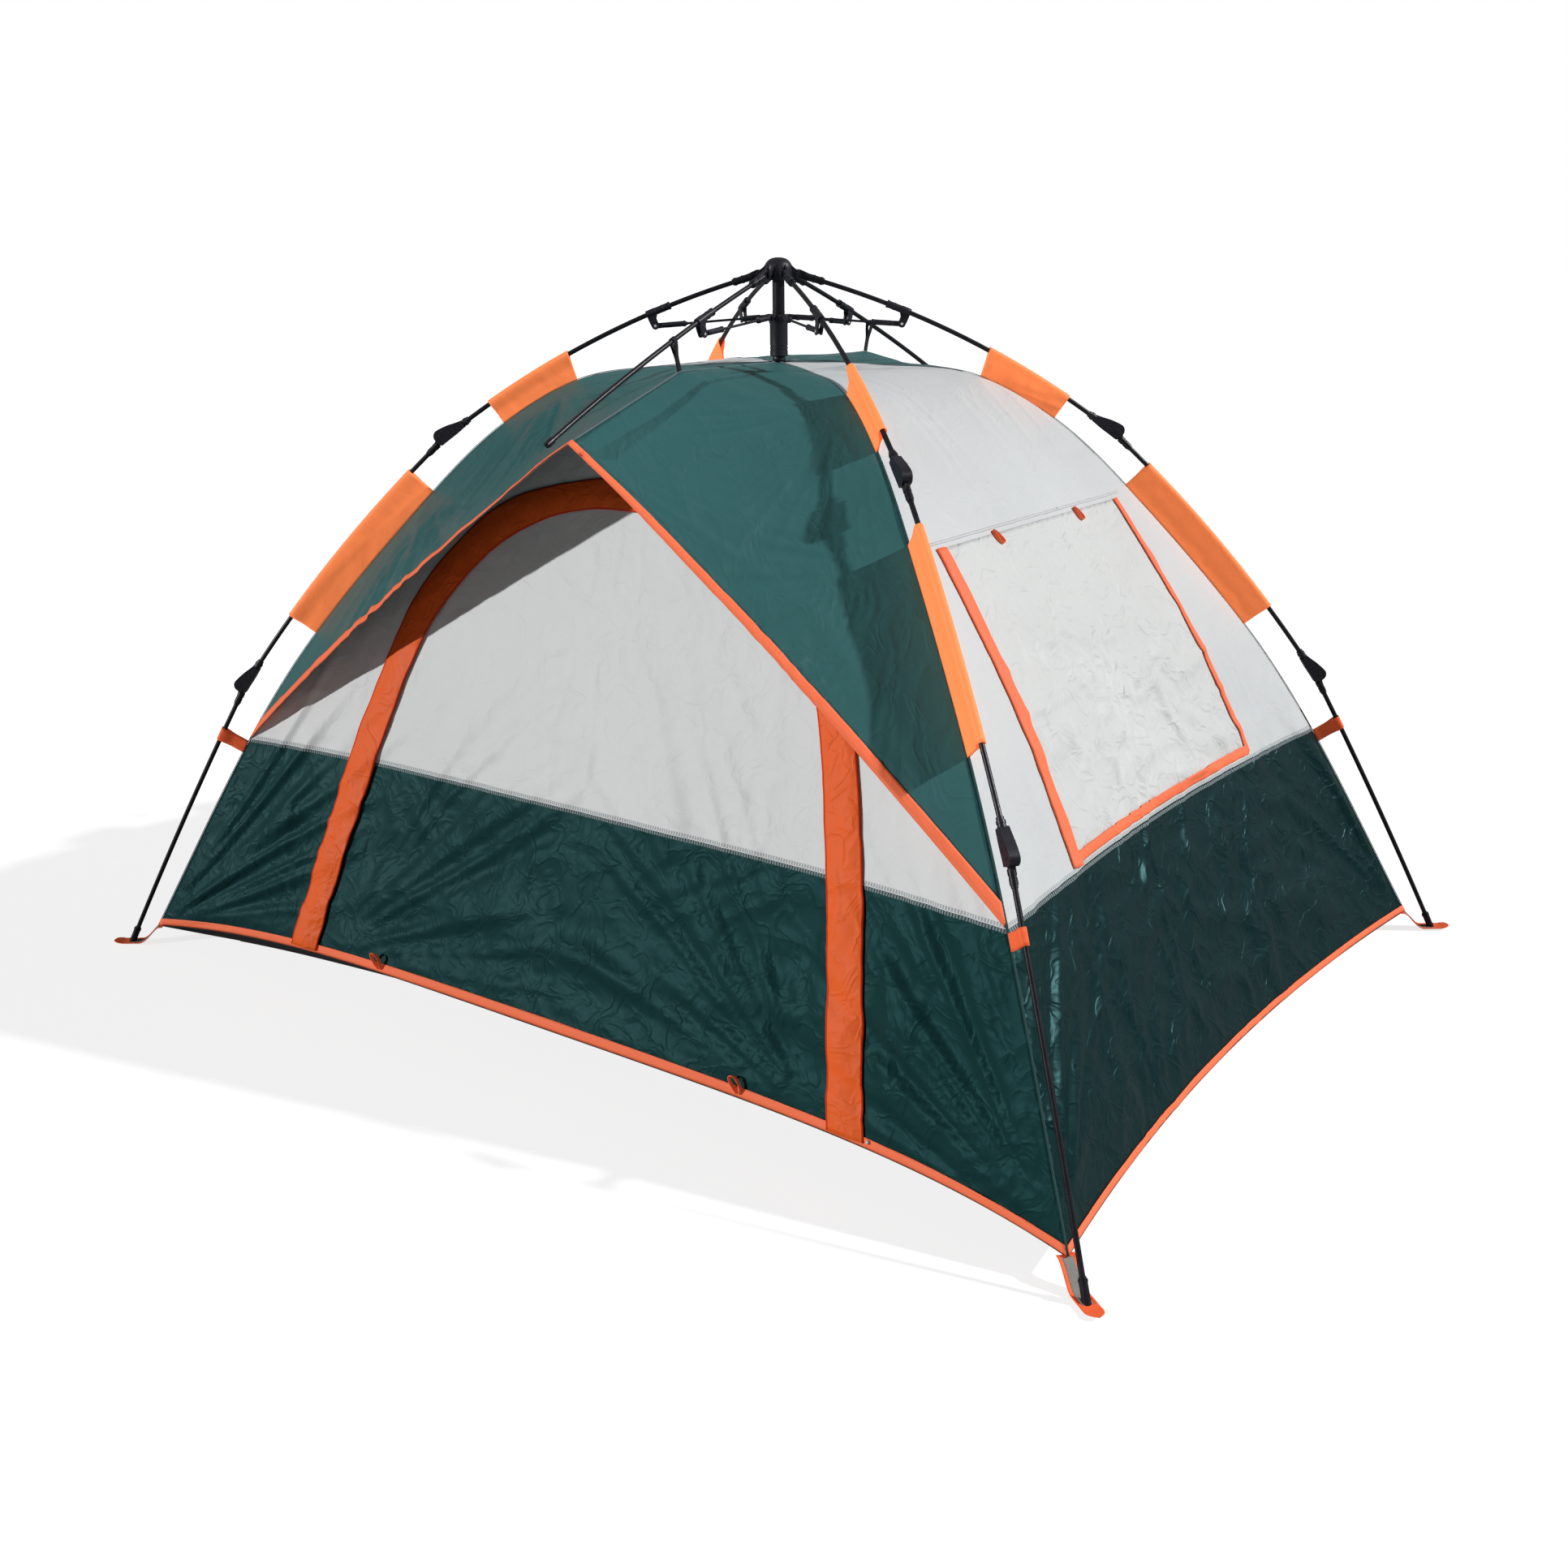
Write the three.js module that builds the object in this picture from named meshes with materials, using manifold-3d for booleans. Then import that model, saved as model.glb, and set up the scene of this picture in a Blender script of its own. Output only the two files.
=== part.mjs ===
// A dome tent for two or three people, hung under an umbrella frame.
// Four jointed legs and two awning poles fold about one hub, and six struts join them to a runner on its post.
// Millimetres, +Z up, X along the door side, origin on the ground under the hub.
import * as THREE from "three";
import { mergeVertices } from "three/addons/utils/BufferGeometryUtils.js";
import Module from "manifold-3d";

const wasm = await Module();
wasm.setup();

// Plan of the feet and the hub's pivots. The elbows keep their share of the foot's radius and of the hub's height.
const footHalfSpanX = 1000;
const footHalfSpanY = 738;
const hubPivotRadius = 30;
const hubPivotHeight = 1214;
const upperElbowShare = 0.470682;
const upperElbowDrop = 271;
const lowerElbowShare = 0.785275;
const lowerElbowHeightShare = 0.414333;
const awningTipInset = 154;
const awningTipDrop = 228;
const legAngle = Math.atan2(footHalfSpanY, footHalfSpanX);
const footRadius = Math.hypot(footHalfSpanX, footHalfSpanY);
const upperElbowRadius = upperElbowShare * footRadius;
const upperElbowHeight = hubPivotHeight - upperElbowDrop;
const lowerElbowRadius = lowerElbowShare * footRadius;
const lowerElbowHeight = lowerElbowHeightShare * hubPivotHeight;
const awningTipReach = footHalfSpanY - awningTipInset;
const awningTipHeight = hubPivotHeight - awningTipDrop;

// Fibreglass rods and how far each bows out of its chord
const rodRadius = 4;
const longRodSteps = 6;
const shortRodSteps = 2;
const upperLegBow = 30;
const middleLegBow = 16;
const lowerLegBow = 4;
const awningBow = 10;
const runningGap = 0.4;
const seatGap = 0.3;

// Fabric: it hangs from the frame, so its apex and hood follow the hub and its hems follow the feet
const apexDrop = 145;
const clothThickness = 2.4;
const seamGap = 0.8;
const apexOpening = 14;
const hemInset = 54.877;
const hemCornerHeight = 37;
const bandHeightShare = 0.376988;
const hoodInset = 45;
const hoodTipDrop = 2;
const ridgeStrapReachShare = 0.502783;
const ridgeStrapRise = 2;
const hoodLift = 18;
const wallHemInset = 86;
const wallHemHeight = 66;
const wallTopReachShare = 0.45393;
const wallTopDrop = 24;
const sideHemHeight = 32;
const sideSag = 55;
const sideSagShare = 0.538721;
const apexHeight = hubPivotHeight - apexDrop;
const hemRadius = footRadius - hemInset;
const bandHeight = bandHeightShare * apexHeight;
const hoodReach = awningTipReach - hoodInset;
const hoodTipHeight = awningTipHeight - hoodTipDrop;
const ridgeStrapReach = ridgeStrapReachShare * hoodReach;
const ridgeStrapHeight = apexHeight + ridgeStrapRise;
const wallHemReach = footHalfSpanY - wallHemInset;
const wallTopReach = wallTopReachShare * footHalfSpanY;
const wallTopHeight = apexHeight - wallTopDrop;
const sideSagFromRadius = sideSagShare * hemRadius;

const overrun = 60;
const weldDistance = 1e-4;
const right = Math.PI / 2;

const colours = { green: 0x2e685f, cream: 0xcdcfcd, orange: 0xff7332, black: 0x191921, mesh: 0x3a3a3e };

function cloth(colour) {
  return new THREE.MeshStandardMaterial({ color: colours[colour], roughness: 0.45, metalness: 0 });
}

function plastic() {
  return new THREE.MeshStandardMaterial({ color: colours.black, roughness: 0.4, metalness: 0 });
}

const tent = new THREE.Group();
tent.name = "tent";

// Solids

function solid(geometry) {
  geometry.deleteAttribute("normal");
  geometry.deleteAttribute("uv");
  const merged = mergeVertices(geometry, weldDistance);
  return new wasm.Manifold(
    new wasm.Mesh({
      numProp: 3,
      vertProperties: merged.attributes.position.array,
      triVerts: new Uint32Array(merged.index.array),
    }),
  );
}

function addNode(name, body, material, parent = tent) {
  const shape = body.getMesh();
  const geometry = new THREE.BufferGeometry();
  geometry.setAttribute("position", new THREE.BufferAttribute(shape.vertProperties, 3));
  geometry.setIndex(new THREE.BufferAttribute(shape.triVerts, 1));
  geometry.computeVertexNormals();
  const mesh = new THREE.Mesh(geometry, material);
  mesh.name = name;
  parent.add(mesh);
  return mesh;
}

function circle(radius, sides, centre = new THREE.Vector2()) {
  return Array.from({ length: sides }, (_, side) => {
    const angle = (2 * Math.PI * (side + 1 / 2)) / sides;
    return new THREE.Vector2(centre.x + radius * Math.cos(angle), centre.y + radius * Math.sin(angle));
  });
}

const rodSides = 8;
const pinSides = 8;

// A round bar or, with a bore, a tube along points in the leg plane, turned to its place when spun.
function tube(points, radius, bore = 0, spin = 0, sides = rodSides) {
  const section = new THREE.Shape(circle(radius, sides));
  if (bore) section.holes.push(new THREE.Path(circle(bore, sides)));
  const path = new THREE.CatmullRomCurve3(points);
  const options = { steps: points.length - 1, bevelEnabled: false, extrudePath: path };
  return solid(new THREE.ExtrudeGeometry(section, options).rotateZ(spin));
}

// A flat plate whose outline lies in the leg plane (x outwards, z up), centred on it or set off to one side.
function plate(outline, thickness, offset = 0, spin = 0) {
  const shape = new THREE.Shape(outline.map((p) => new THREE.Vector2(p.x, p.z)));
  const geometry = new THREE.ExtrudeGeometry(shape, { depth: thickness, bevelEnabled: false });
  geometry.rotateX(right).translate(0, offset + thickness / 2, 0).rotateZ(spin);
  return solid(geometry);
}

function disc(centre, radius, thickness, spin = 0) {
  const rim = circle(radius, pinSides, new THREE.Vector2(centre.x, centre.z));
  return plate(rim.map((p) => new THREE.Vector3(p.x, 0, p.y)), thickness, 0, spin);
}

// A solid of revolution about the Z axis from rows of radius and height.
function turned(rows, sides = 20) {
  const profile = rows.map(([radius, height]) => new THREE.Vector2(radius, height));
  return solid(new THREE.LatheGeometry([...profile, profile[0]], sides).rotateX(right));
}

// A local frame on a rod: a point, the way down the rod and the way out of the tent.
function frameAt(point, along) {
  const out = new THREE.Vector3(-along.z, 0, along.x).normalize();
  const down = along.clone().normalize();
  const at = (a, b) => point.clone().addScaledVector(down, a).addScaledVector(out, b);
  return { point, down, out, at };
}

function bowedRod(from, to, bow) {
  const { out } = frameAt(from, to.clone().sub(from));
  const control = from.clone().add(to).multiplyScalar(1 / 2).addScaledVector(out, 2 * bow);
  return new THREE.QuadraticBezierCurve3(from, control, to);
}

function rodFrame(rod, distance) {
  const share = Math.min(distance / rod.getLength(), 1);
  return frameAt(rod.getPointAt(share), rod.getTangentAt(share));
}

function stretch(rod, from, to, steps) {
  return Array.from({ length: steps + 1 }, (_, i) => rodFrame(rod, from + ((to - from) * i) / steps).point);
}

// The rod from its inner end to short of the elbow, and the same line thickened to cut a bore for it.
function rodBetween(rod, from, spare) {
  return tube(stretch(rod, from, rod.getLength() - spare, longRodSteps), rodRadius);
}

function boreFor(rod, from, spare) {
  return tube(stretch(rod, from, rod.getLength() - spare, longRodSteps), rodRadius + runningGap);
}

// Lines of the frame in the leg plane

const tabThickness = 2.4;
const footBase = tabThickness + seatGap;
const hubPivot = new THREE.Vector3(hubPivotRadius, 0, hubPivotHeight);
const upperElbow = new THREE.Vector3(upperElbowRadius, 0, upperElbowHeight);
const lowerElbow = new THREE.Vector3(lowerElbowRadius, 0, lowerElbowHeight);
const foot = new THREE.Vector3(footRadius, 0, footBase);
const awningTip = new THREE.Vector3(awningTipReach, 0, awningTipHeight);
const upperLine = bowedRod(hubPivot, upperElbow, upperLegBow);
const middleLine = bowedRod(upperElbow, lowerElbow, middleLegBow);
const lowerLine = bowedRod(lowerElbow, foot, lowerLegBow);
const awningLine = bowedRod(hubPivot, awningTip, awningBow);

const corners = [
  { name: "front_left", azimuth: Math.PI + legAngle },
  { name: "front_right", azimuth: -legAngle },
  { name: "back_right", azimuth: legAngle },
  { name: "back_left", azimuth: Math.PI - legAngle },
];
const awnings = [
  { name: "front", azimuth: -right },
  { name: "back", azimuth: right },
];
const spokes = [...corners, ...awnings];

// Hub: a moulded dome with a pair of ears for each pole

const capRadius = 24.5;
const capHeight = 37;
const capSkirt = 10;
const capDomeShares = [[0, 1], [0.4, 0.965], [0.72, 0.85], [0.93, 0.66], [1, 0.4], [1, 0]];
const armThickness = 7;
const armEndRadius = 6;
const earRadius = 6.5;
const earThickness = 3.4;
const earRoot = 14;
const pinRadius = 1.7;
const pinProud = 0.5;
const postRadius = 10.35;
const postWall = 1.4;
const postSeatDepth = 20;
const earWidth = armThickness + 2 * (runningGap + earThickness);
const capBottom = hubPivotHeight - capSkirt;
const capTop = capBottom + capHeight;

function box(lowX, lowZ, highX, highZ) {
  return [
    new THREE.Vector3(lowX, 0, lowZ),
    new THREE.Vector3(highX, 0, lowZ),
    new THREE.Vector3(highX, 0, highZ),
    new THREE.Vector3(lowX, 0, highZ),
  ];
}

const domeRows = capDomeShares.map(([radius, height]) => [radius * capRadius, capBottom + height * capHeight]);
let hubCap = turned([[0, capBottom], ...domeRows.reverse()]);
for (const { azimuth } of spokes) {
  const ear = box(earRoot, hubPivotHeight - earRadius, hubPivotRadius, hubPivotHeight + earRadius);
  hubCap = hubCap.add(plate(ear, earWidth, 0, azimuth)).add(disc(hubPivot, earRadius, earWidth, azimuth));
}
for (const { azimuth } of spokes) {
  const slotInner = hubPivotRadius - armEndRadius - 2 * runningGap;
  const slotTop = hubPivotHeight + armEndRadius + 2 * runningGap;
  const slotWidth = armThickness + 2 * runningGap;
  const low = capBottom - overrun;
  hubCap = hubCap.subtract(plate(box(slotInner, low, hubPivotRadius, slotTop), slotWidth, 0, azimuth));
  hubCap = hubCap.subtract(plate(box(capRadius, low, capRadius + overrun, capTop), slotWidth, 0, azimuth));
  hubCap = hubCap.subtract(disc(hubPivot, pinRadius + runningGap, earWidth + overrun, azimuth));
}
const postTop = capBottom + postSeatDepth;
const seatRows = [[0, capBottom - overrun], [postRadius + seatGap, capBottom - overrun]];
seatRows.push([postRadius + seatGap, postTop + seatGap], [0, postTop + seatGap]);
hubCap = hubCap.subtract(turned(seatRows));
addNode("hub_cap", hubCap, plastic());

// Centre post, its end plug, and the runner that slides on it

const runnerDrop = 70;
const runnerPivotRadius = 20;
const runnerSleeveLength = 65;
const runnerSleeveRadius = 15.3;
const runnerCollarRadius = 17;
const runnerCollarHeight = 12;
const lugTop = 4;
const lugBottom = 6;
const lugReach = 4.4;
const lugWidth = 11;
const strutTongue = 4;
const strutPinRadius = 1.5;
const strutEyeRadius = 3.6;
const plugHeadRadius = 11.2;
const plugHeadHeight = 8;
const plugShank = 12;
const plugEyeRadius = 5;
const plugEyeDrop = 10;
const runnerHeight = hubPivotHeight - runnerDrop;
const runnerBottom = runnerHeight - runnerSleeveLength;
const plugTop = runnerBottom - seatGap;
const postBottom = plugTop + seatGap;
const postBore = postRadius - postWall;
const runnerBore = postRadius + runningGap;

addNode("centre_post", turned([[postBore, postBottom], [postRadius, postBottom], [postRadius, postTop], [postBore, postTop]]), plastic());

const plugBottom = plugTop - plugHeadHeight;
const shankRadius = postBore - seatGap;
addNode("post_end_plug", turned([
  [0, plugBottom - plugEyeDrop],
  [plugEyeRadius, plugBottom - plugEyeDrop],
  [plugEyeRadius, plugBottom],
  [plugHeadRadius, plugBottom],
  [plugHeadRadius, plugTop],
  [shankRadius, plugTop],
  [shankRadius, plugTop + plugShank],
  [0, plugTop + plugShank],
]), plastic());

const runnerPivot = new THREE.Vector3(runnerPivotRadius, 0, runnerHeight);
let runner = turned([
  [0, runnerBottom],
  [runnerSleeveRadius, runnerBottom],
  [runnerSleeveRadius, runnerHeight + lugTop - runnerCollarHeight],
  [runnerCollarRadius, runnerHeight + lugTop - runnerCollarHeight],
  [runnerCollarRadius, runnerHeight + lugTop],
  [0, runnerHeight + lugTop],
]);
for (const { azimuth } of spokes) {
  const lug = box(runnerBore, runnerHeight - lugBottom, runnerPivotRadius + lugReach, runnerHeight + lugTop);
  runner = runner.add(plate(lug, lugWidth, 0, azimuth));
}
for (const { azimuth } of spokes) {
  const slot = box(
    runnerPivotRadius - strutEyeRadius - runningGap,
    runnerHeight - lugBottom - overrun,
    runnerPivotRadius + overrun,
    runnerHeight + overrun,
  );
  runner = runner.subtract(plate(slot, strutTongue + 2 * runningGap, 0, azimuth));
  runner = runner.subtract(disc(runnerPivot, strutPinRadius + runningGap, lugWidth + overrun, azimuth));
}
const boreRows = [[0, runnerBottom - overrun], [runnerBore, runnerBottom - overrun]];
boreRows.push([runnerBore, runnerHeight + overrun], [0, runnerHeight + overrun]);
addNode("runner", runner.subtract(turned(boreRows)), plastic());

// Poles: hub arm and rod, bracket on the rod, strut from the bracket to the runner

const armLength = 50;
const armSleeveFrom = 15;
const armSleeveRadius = 6.2;
const armUnderside = 5.4;
const armShoulder = 8.5;
const armShoulderFrom = 5;
const bracketDistance = 184;
const bracketLength = 44;
const bracketRadius = 6.6;
const bracketReach = 15;
const bracketDrop = 22;
const cheekThickness = 2.6;
const cheekHalfWidth = 6;
const tongueThickness = 4.4;
const forkGap = 0.5;
const tongueRadius = 4.6;
const tongueLength = 30;
const rivetRadius = 2.6;
const rivetHead = 0.8;
const fittingRadius = 4.5;
const fittingLength = 24;
const innerFittingFrom = 9;
const innerFittingLength = 34;
const strutRodRadius = 2.1;
const forkWidth = tongueThickness + 2 * (forkGap + cheekThickness);

function hubArm(rod) {
  const { at } = rodFrame(rod, 0);
  const outline = [
    at(0, -armUnderside),
    at(armLength, -armUnderside),
    at(armLength, armUnderside),
    at(armLength / 2, armUnderside),
    at(armShoulderFrom, armShoulder),
    at(0, armEndRadius),
  ];
  const barrel = tube(stretch(rod, armSleeveFrom, armLength, shortRodSteps), armSleeveRadius);
  const pin = disc(hubPivot, pinRadius, earWidth + 2 * pinProud);
  return plate(outline, armThickness).add(disc(hubPivot, armEndRadius, armThickness)).add(barrel).add(pin);
}

function bracket(rod, bore) {
  const { at } = rodFrame(rod, bracketDistance);
  const from = bracketDistance - bracketLength / 2;
  const to = bracketDistance + bracketLength / 2;
  const pivot = at(bracketReach, -bracketDrop);
  const drop = [
    at(bracketReach - cheekHalfWidth, 0),
    at(bracketReach + cheekHalfWidth, 0),
    at(bracketReach + cheekHalfWidth, -bracketDrop),
    at(bracketReach - cheekHalfWidth, -bracketDrop),
  ];
  const slotDepth = bracketDrop + cheekHalfWidth + overrun;
  const slot = [
    at(bracketReach - overrun, -bracketRadius),
    at(bracketReach + overrun, -bracketRadius),
    at(bracketReach + overrun, -slotDepth),
    at(bracketReach - overrun, -slotDepth),
  ];
  const cheeks = plate(drop, forkWidth).add(disc(pivot, cheekHalfWidth, forkWidth));
  const rivets = disc(pivot, rivetRadius, forkWidth + 2 * rivetHead);
  const body = tube(stretch(rod, from, to, shortRodSteps), bracketRadius).add(cheeks).add(rivets);
  return body.subtract(plate(slot, tongueThickness + 2 * forkGap)).subtract(bore);
}

function strut(rod) {
  const pivot = rodFrame(rod, bracketDistance).at(bracketReach, -bracketDrop);
  const line = new THREE.LineCurve3(runnerPivot, pivot);
  const length = line.getLength();
  const { at } = frameAt(runnerPivot, pivot.clone().sub(runnerPivot));
  const inner = [at(0, -strutEyeRadius), at(innerFittingLength, -strutEyeRadius)];
  inner.push(at(innerFittingLength, strutEyeRadius), at(0, strutEyeRadius));
  const outer = [at(length - tongueLength - fittingLength / 2, -strutEyeRadius), at(length, -strutEyeRadius)];
  outer.push(at(length, strutEyeRadius), at(length - tongueLength - fittingLength / 2, strutEyeRadius));
  const innerBarrel = stretch(line, innerFittingFrom, innerFittingFrom + innerFittingLength, 1);
  const outerBarrel = stretch(line, length - tongueLength - fittingLength, length - tongueLength, 1);
  return plate(inner, strutTongue)
    .add(disc(runnerPivot, strutEyeRadius, strutTongue))
    .add(disc(runnerPivot, strutPinRadius, lugWidth + 2 * pinProud))
    .add(tube(innerBarrel, fittingRadius))
    .add(tube(stretch(line, innerFittingLength, length - tongueLength, 1), strutRodRadius))
    .add(tube(outerBarrel, fittingRadius))
    .add(plate(outer, tongueThickness))
    .add(disc(pivot, tongueRadius, tongueThickness));
}

// Elbows: a teardrop housing on the upper rod, a tongue on the lower one, hinged on the outer side

const elbowPivotOffset = 7;
const elbowTopLength = 42;
const elbowTopRadius = 6.4;
const elbowCheek = 3.5;
const elbowBulge = 16.5;
const elbowBulgeHalf = 7;
const elbowDiscRadius = 10.5;
const elbowToe = 13;
const elbowHeel = 7.8;
const elbowWebFrom = 5.2;
const elbowSlotFrom = 12.5;
const elbowRodEnd = 15;
const elbowPinRadius = 1.9;
const knuckleRadius = 8.6;
const knuckleBar = 28;
const knuckleThickness = 7.9;
const slotThickness = knuckleThickness + 2 * runningGap;
const elbowWidth = slotThickness + 2 * elbowCheek;

function elbowFrame(lowerRod) {
  return rodFrame(lowerRod, 0);
}

function elbowHousing(upperRod, lowerRod, bore) {
  const { at } = elbowFrame(lowerRod);
  const pivot = at(0, elbowPivotOffset);
  const length = upperRod.getLength();
  const top = rodFrame(upperRod, length - elbowTopLength);
  const rodEnd = rodFrame(upperRod, length - elbowSlotFrom);
  const outline = [
    top.at(0, elbowTopRadius),
    at(-elbowBulgeHalf, elbowBulge),
    at(elbowBulgeHalf, elbowBulge),
    at(elbowToe, elbowPivotOffset),
    at(elbowToe, -elbowHeel),
    at(-elbowBulgeHalf, -elbowHeel),
    top.at(0, -elbowTopRadius),
  ];
  const slot = [
    at(-elbowSlotFrom, -elbowWebFrom),
    at(overrun, -elbowWebFrom),
    at(overrun, overrun),
    at(-2 * overrun, overrun),
    top.at(-overrun, elbowTopRadius),
    top.at(0, elbowTopRadius),
    rodEnd.at(0, elbowTopRadius),
  ];
  const grip = stretch(upperRod, length - elbowTopLength - elbowToe, length - elbowRodEnd, shortRodSteps);
  const barrel = tube(grip, elbowTopRadius);
  return plate(outline, elbowWidth)
    .add(disc(pivot, elbowDiscRadius, elbowWidth))
    .subtract(plate(slot, slotThickness))
    .add(barrel)
    .subtract(bore)
    .subtract(disc(pivot, elbowPinRadius + runningGap, elbowWidth + overrun));
}

function knuckle(lowerRod) {
  const { at } = elbowFrame(lowerRod);
  const pivot = at(0, elbowPivotOffset);
  const bar = [
    at(0, -rodRadius),
    at(knuckleBar, -rodRadius),
    at(knuckleBar, rodRadius),
    at(knuckleRadius, elbowPivotOffset),
    at(0, elbowPivotOffset),
  ];
  return plate(bar, knuckleThickness)
    .add(disc(pivot, knuckleRadius, knuckleThickness))
    .add(disc(pivot, elbowPinRadius, elbowWidth + 2 * pinProud));
}

// The legs' rods, with the cap on each foot

const ferruleLength = 34;
const ferruleRadius = 6.5;
const awningCapLength = 16;
const awningCapRadius = 5.6;

function lowerLeg() {
  const length = lowerLine.getLength();
  const rod = rodBetween(lowerLine, elbowToe, 0);
  const ferrule = tube(stretch(lowerLine, length - ferruleLength, length + 0, 1), ferruleRadius);
  const spare = ferruleLength / 2;
  const toe = lowerLine.getPointAt(1).addScaledVector(lowerLine.getTangentAt(1), spare);
  const sole = tube([lowerLine.getPointAt(1 - ferruleLength / length), toe], ferruleRadius);
  const ground = plate(box(footRadius - overrun, -overrun, footRadius + overrun, footBase), overrun);
  return rod.add(ferrule).add(sole).subtract(ground).add(knuckle(lowerLine));
}

for (const { name, azimuth } of corners) {
  const leg = new THREE.Group();
  leg.rotation.z = azimuth;
  tent.add(leg);
  const upperRod = rodBetween(upperLine, armSleeveFrom, elbowRodEnd);
  const middleRod = rodBetween(middleLine, elbowToe, elbowRodEnd);
  const upperBore = boreFor(upperLine, armSleeveFrom, elbowRodEnd - seatGap);
  const middleBore = boreFor(middleLine, elbowToe, elbowRodEnd - seatGap);
  addNode("upper_leg_" + name, upperRod.add(hubArm(upperLine)), plastic(), leg);
  addNode("bracket_" + name, bracket(upperLine, upperBore), plastic(), leg);
  addNode("strut_" + name, strut(upperLine), plastic(), leg);
  addNode("upper_elbow_" + name, elbowHousing(upperLine, middleLine, upperBore), plastic(), leg);
  addNode("middle_leg_" + name, middleRod.add(knuckle(middleLine)), plastic(), leg);
  addNode("lower_elbow_" + name, elbowHousing(middleLine, lowerLine, middleBore), plastic(), leg);
  addNode("lower_leg_" + name, lowerLeg(), plastic(), leg);
}

for (const { name, azimuth } of awnings) {
  const pole = new THREE.Group();
  pole.rotation.z = azimuth;
  tent.add(pole);
  const length = awningLine.getLength();
  const rod = rodBetween(awningLine, armSleeveFrom, 0);
  const cap = tube(stretch(awningLine, length - awningCapLength, length, 1), awningCapRadius);
  addNode("awning_pole_" + name, rod.add(cap).add(hubArm(awningLine)), plastic(), pole);
  addNode("bracket_" + name, bracket(awningLine, boreFor(awningLine, armSleeveFrom, 0)), plastic(), pole);
  addNode("strut_" + name, strut(awningLine), plastic(), pole);
}

// Seam line of the canopy under each leg, as shares of the foot's radius and the apex height

const seamShares = [
  [0, 1],
  [0.14, 0.994],
  [0.27, 0.978],
  [0.386, 0.906],
  [0.489, 0.799],
  [0.674, 0.562],
  [0.786, bandHeight / apexHeight],
  [hemRadius / footRadius, hemCornerHeight / apexHeight],
];

// A smooth curve through rows of x and y.
function smooth(rows, x) {
  const last = rows.length - 2;
  const index = Math.max(0, Math.min(last, rows.findIndex(([value]) => value > x) - 1));
  const i = x >= rows[last][0] ? last : index;
  const slope = (k) => {
    const low = rows[Math.max(k - 1, 0)];
    const high = rows[Math.min(k + 1, rows.length - 1)];
    return (high[1] - low[1]) / (high[0] - low[0]);
  };
  const [x0, y0] = rows[i];
  const [x1, y1] = rows[i + 1];
  const width = x1 - x0;
  const t = (x - x0) / width;
  const t2 = t * t;
  const t3 = t2 * t;
  return (
    y0 * (2 * t3 - 3 * t2 + 1) + slope(i) * width * (t3 - 2 * t2 + t) + y1 * (3 * t2 - 2 * t3) + slope(i + 1) * width * (t3 - t2)
  );
}

function seam(radius) {
  return new THREE.Vector3(radius, 0, apexHeight * smooth(seamShares, radius / footRadius));
}

const hemRatio = hemRadius / footRadius;
const bandRadius = seamShares.at(-2)[0] * footRadius;

function nearestSeam(point) {
  const steps = 600;
  let best = seam(0);
  for (let i = 0; i <= steps; i += 1) {
    const candidate = seam((hemRadius * i) / steps);
    if (candidate.distanceTo(point) < best.distanceTo(point)) best = candidate;
  }
  return best;
}

// Cloth sleeves round each leg: a tube of cloth and a web down to the seam

const sleeveBore = 5.2;
const sleeveRadius = 6.6;
const upperSleeveFromShare = 0.572814;
const upperSleeveLengthShare = 0.260662;
const lowerSleeveFromShare = 0.139034;
const lowerSleeveLengthShare = 0.586655;
const sleeveSteps = 5;

function sleeve(rod, fromShare, lengthShare) {
  const from = fromShare * rod.getLength();
  const points = stretch(rod, from, from + lengthShare * rod.getLength(), sleeveSteps);
  const inner = points.map((point) => {
    const edge = nearestSeam(point);
    return edge.addScaledVector(point.clone().sub(edge).normalize(), clothThickness);
  });
  const outer = points.map((point, i) => {
    return point.clone().addScaledVector(inner[i].clone().sub(point).normalize(), (sleeveBore + sleeveRadius) / 2);
  });
  const web = plate([...outer, ...inner.reverse()], clothThickness);
  return tube(points, sleeveRadius, sleeveBore).add(web);
}

for (const { name, azimuth } of corners) {
  const cover = new THREE.Group();
  cover.rotation.z = azimuth;
  tent.add(cover);
  const upper = sleeve(upperLine, upperSleeveFromShare, upperSleeveLengthShare);
  const lower = sleeve(middleLine, lowerSleeveFromShare, lowerSleeveLengthShare);
  addNode("sleeve_upper_" + name, upper, cloth("orange"), cover);
  addNode("sleeve_lower_" + name, lower, cloth("orange"), cover);
}

// Cloth panels: thin shells whose outer face follows a surface of u across and v upwards

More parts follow.
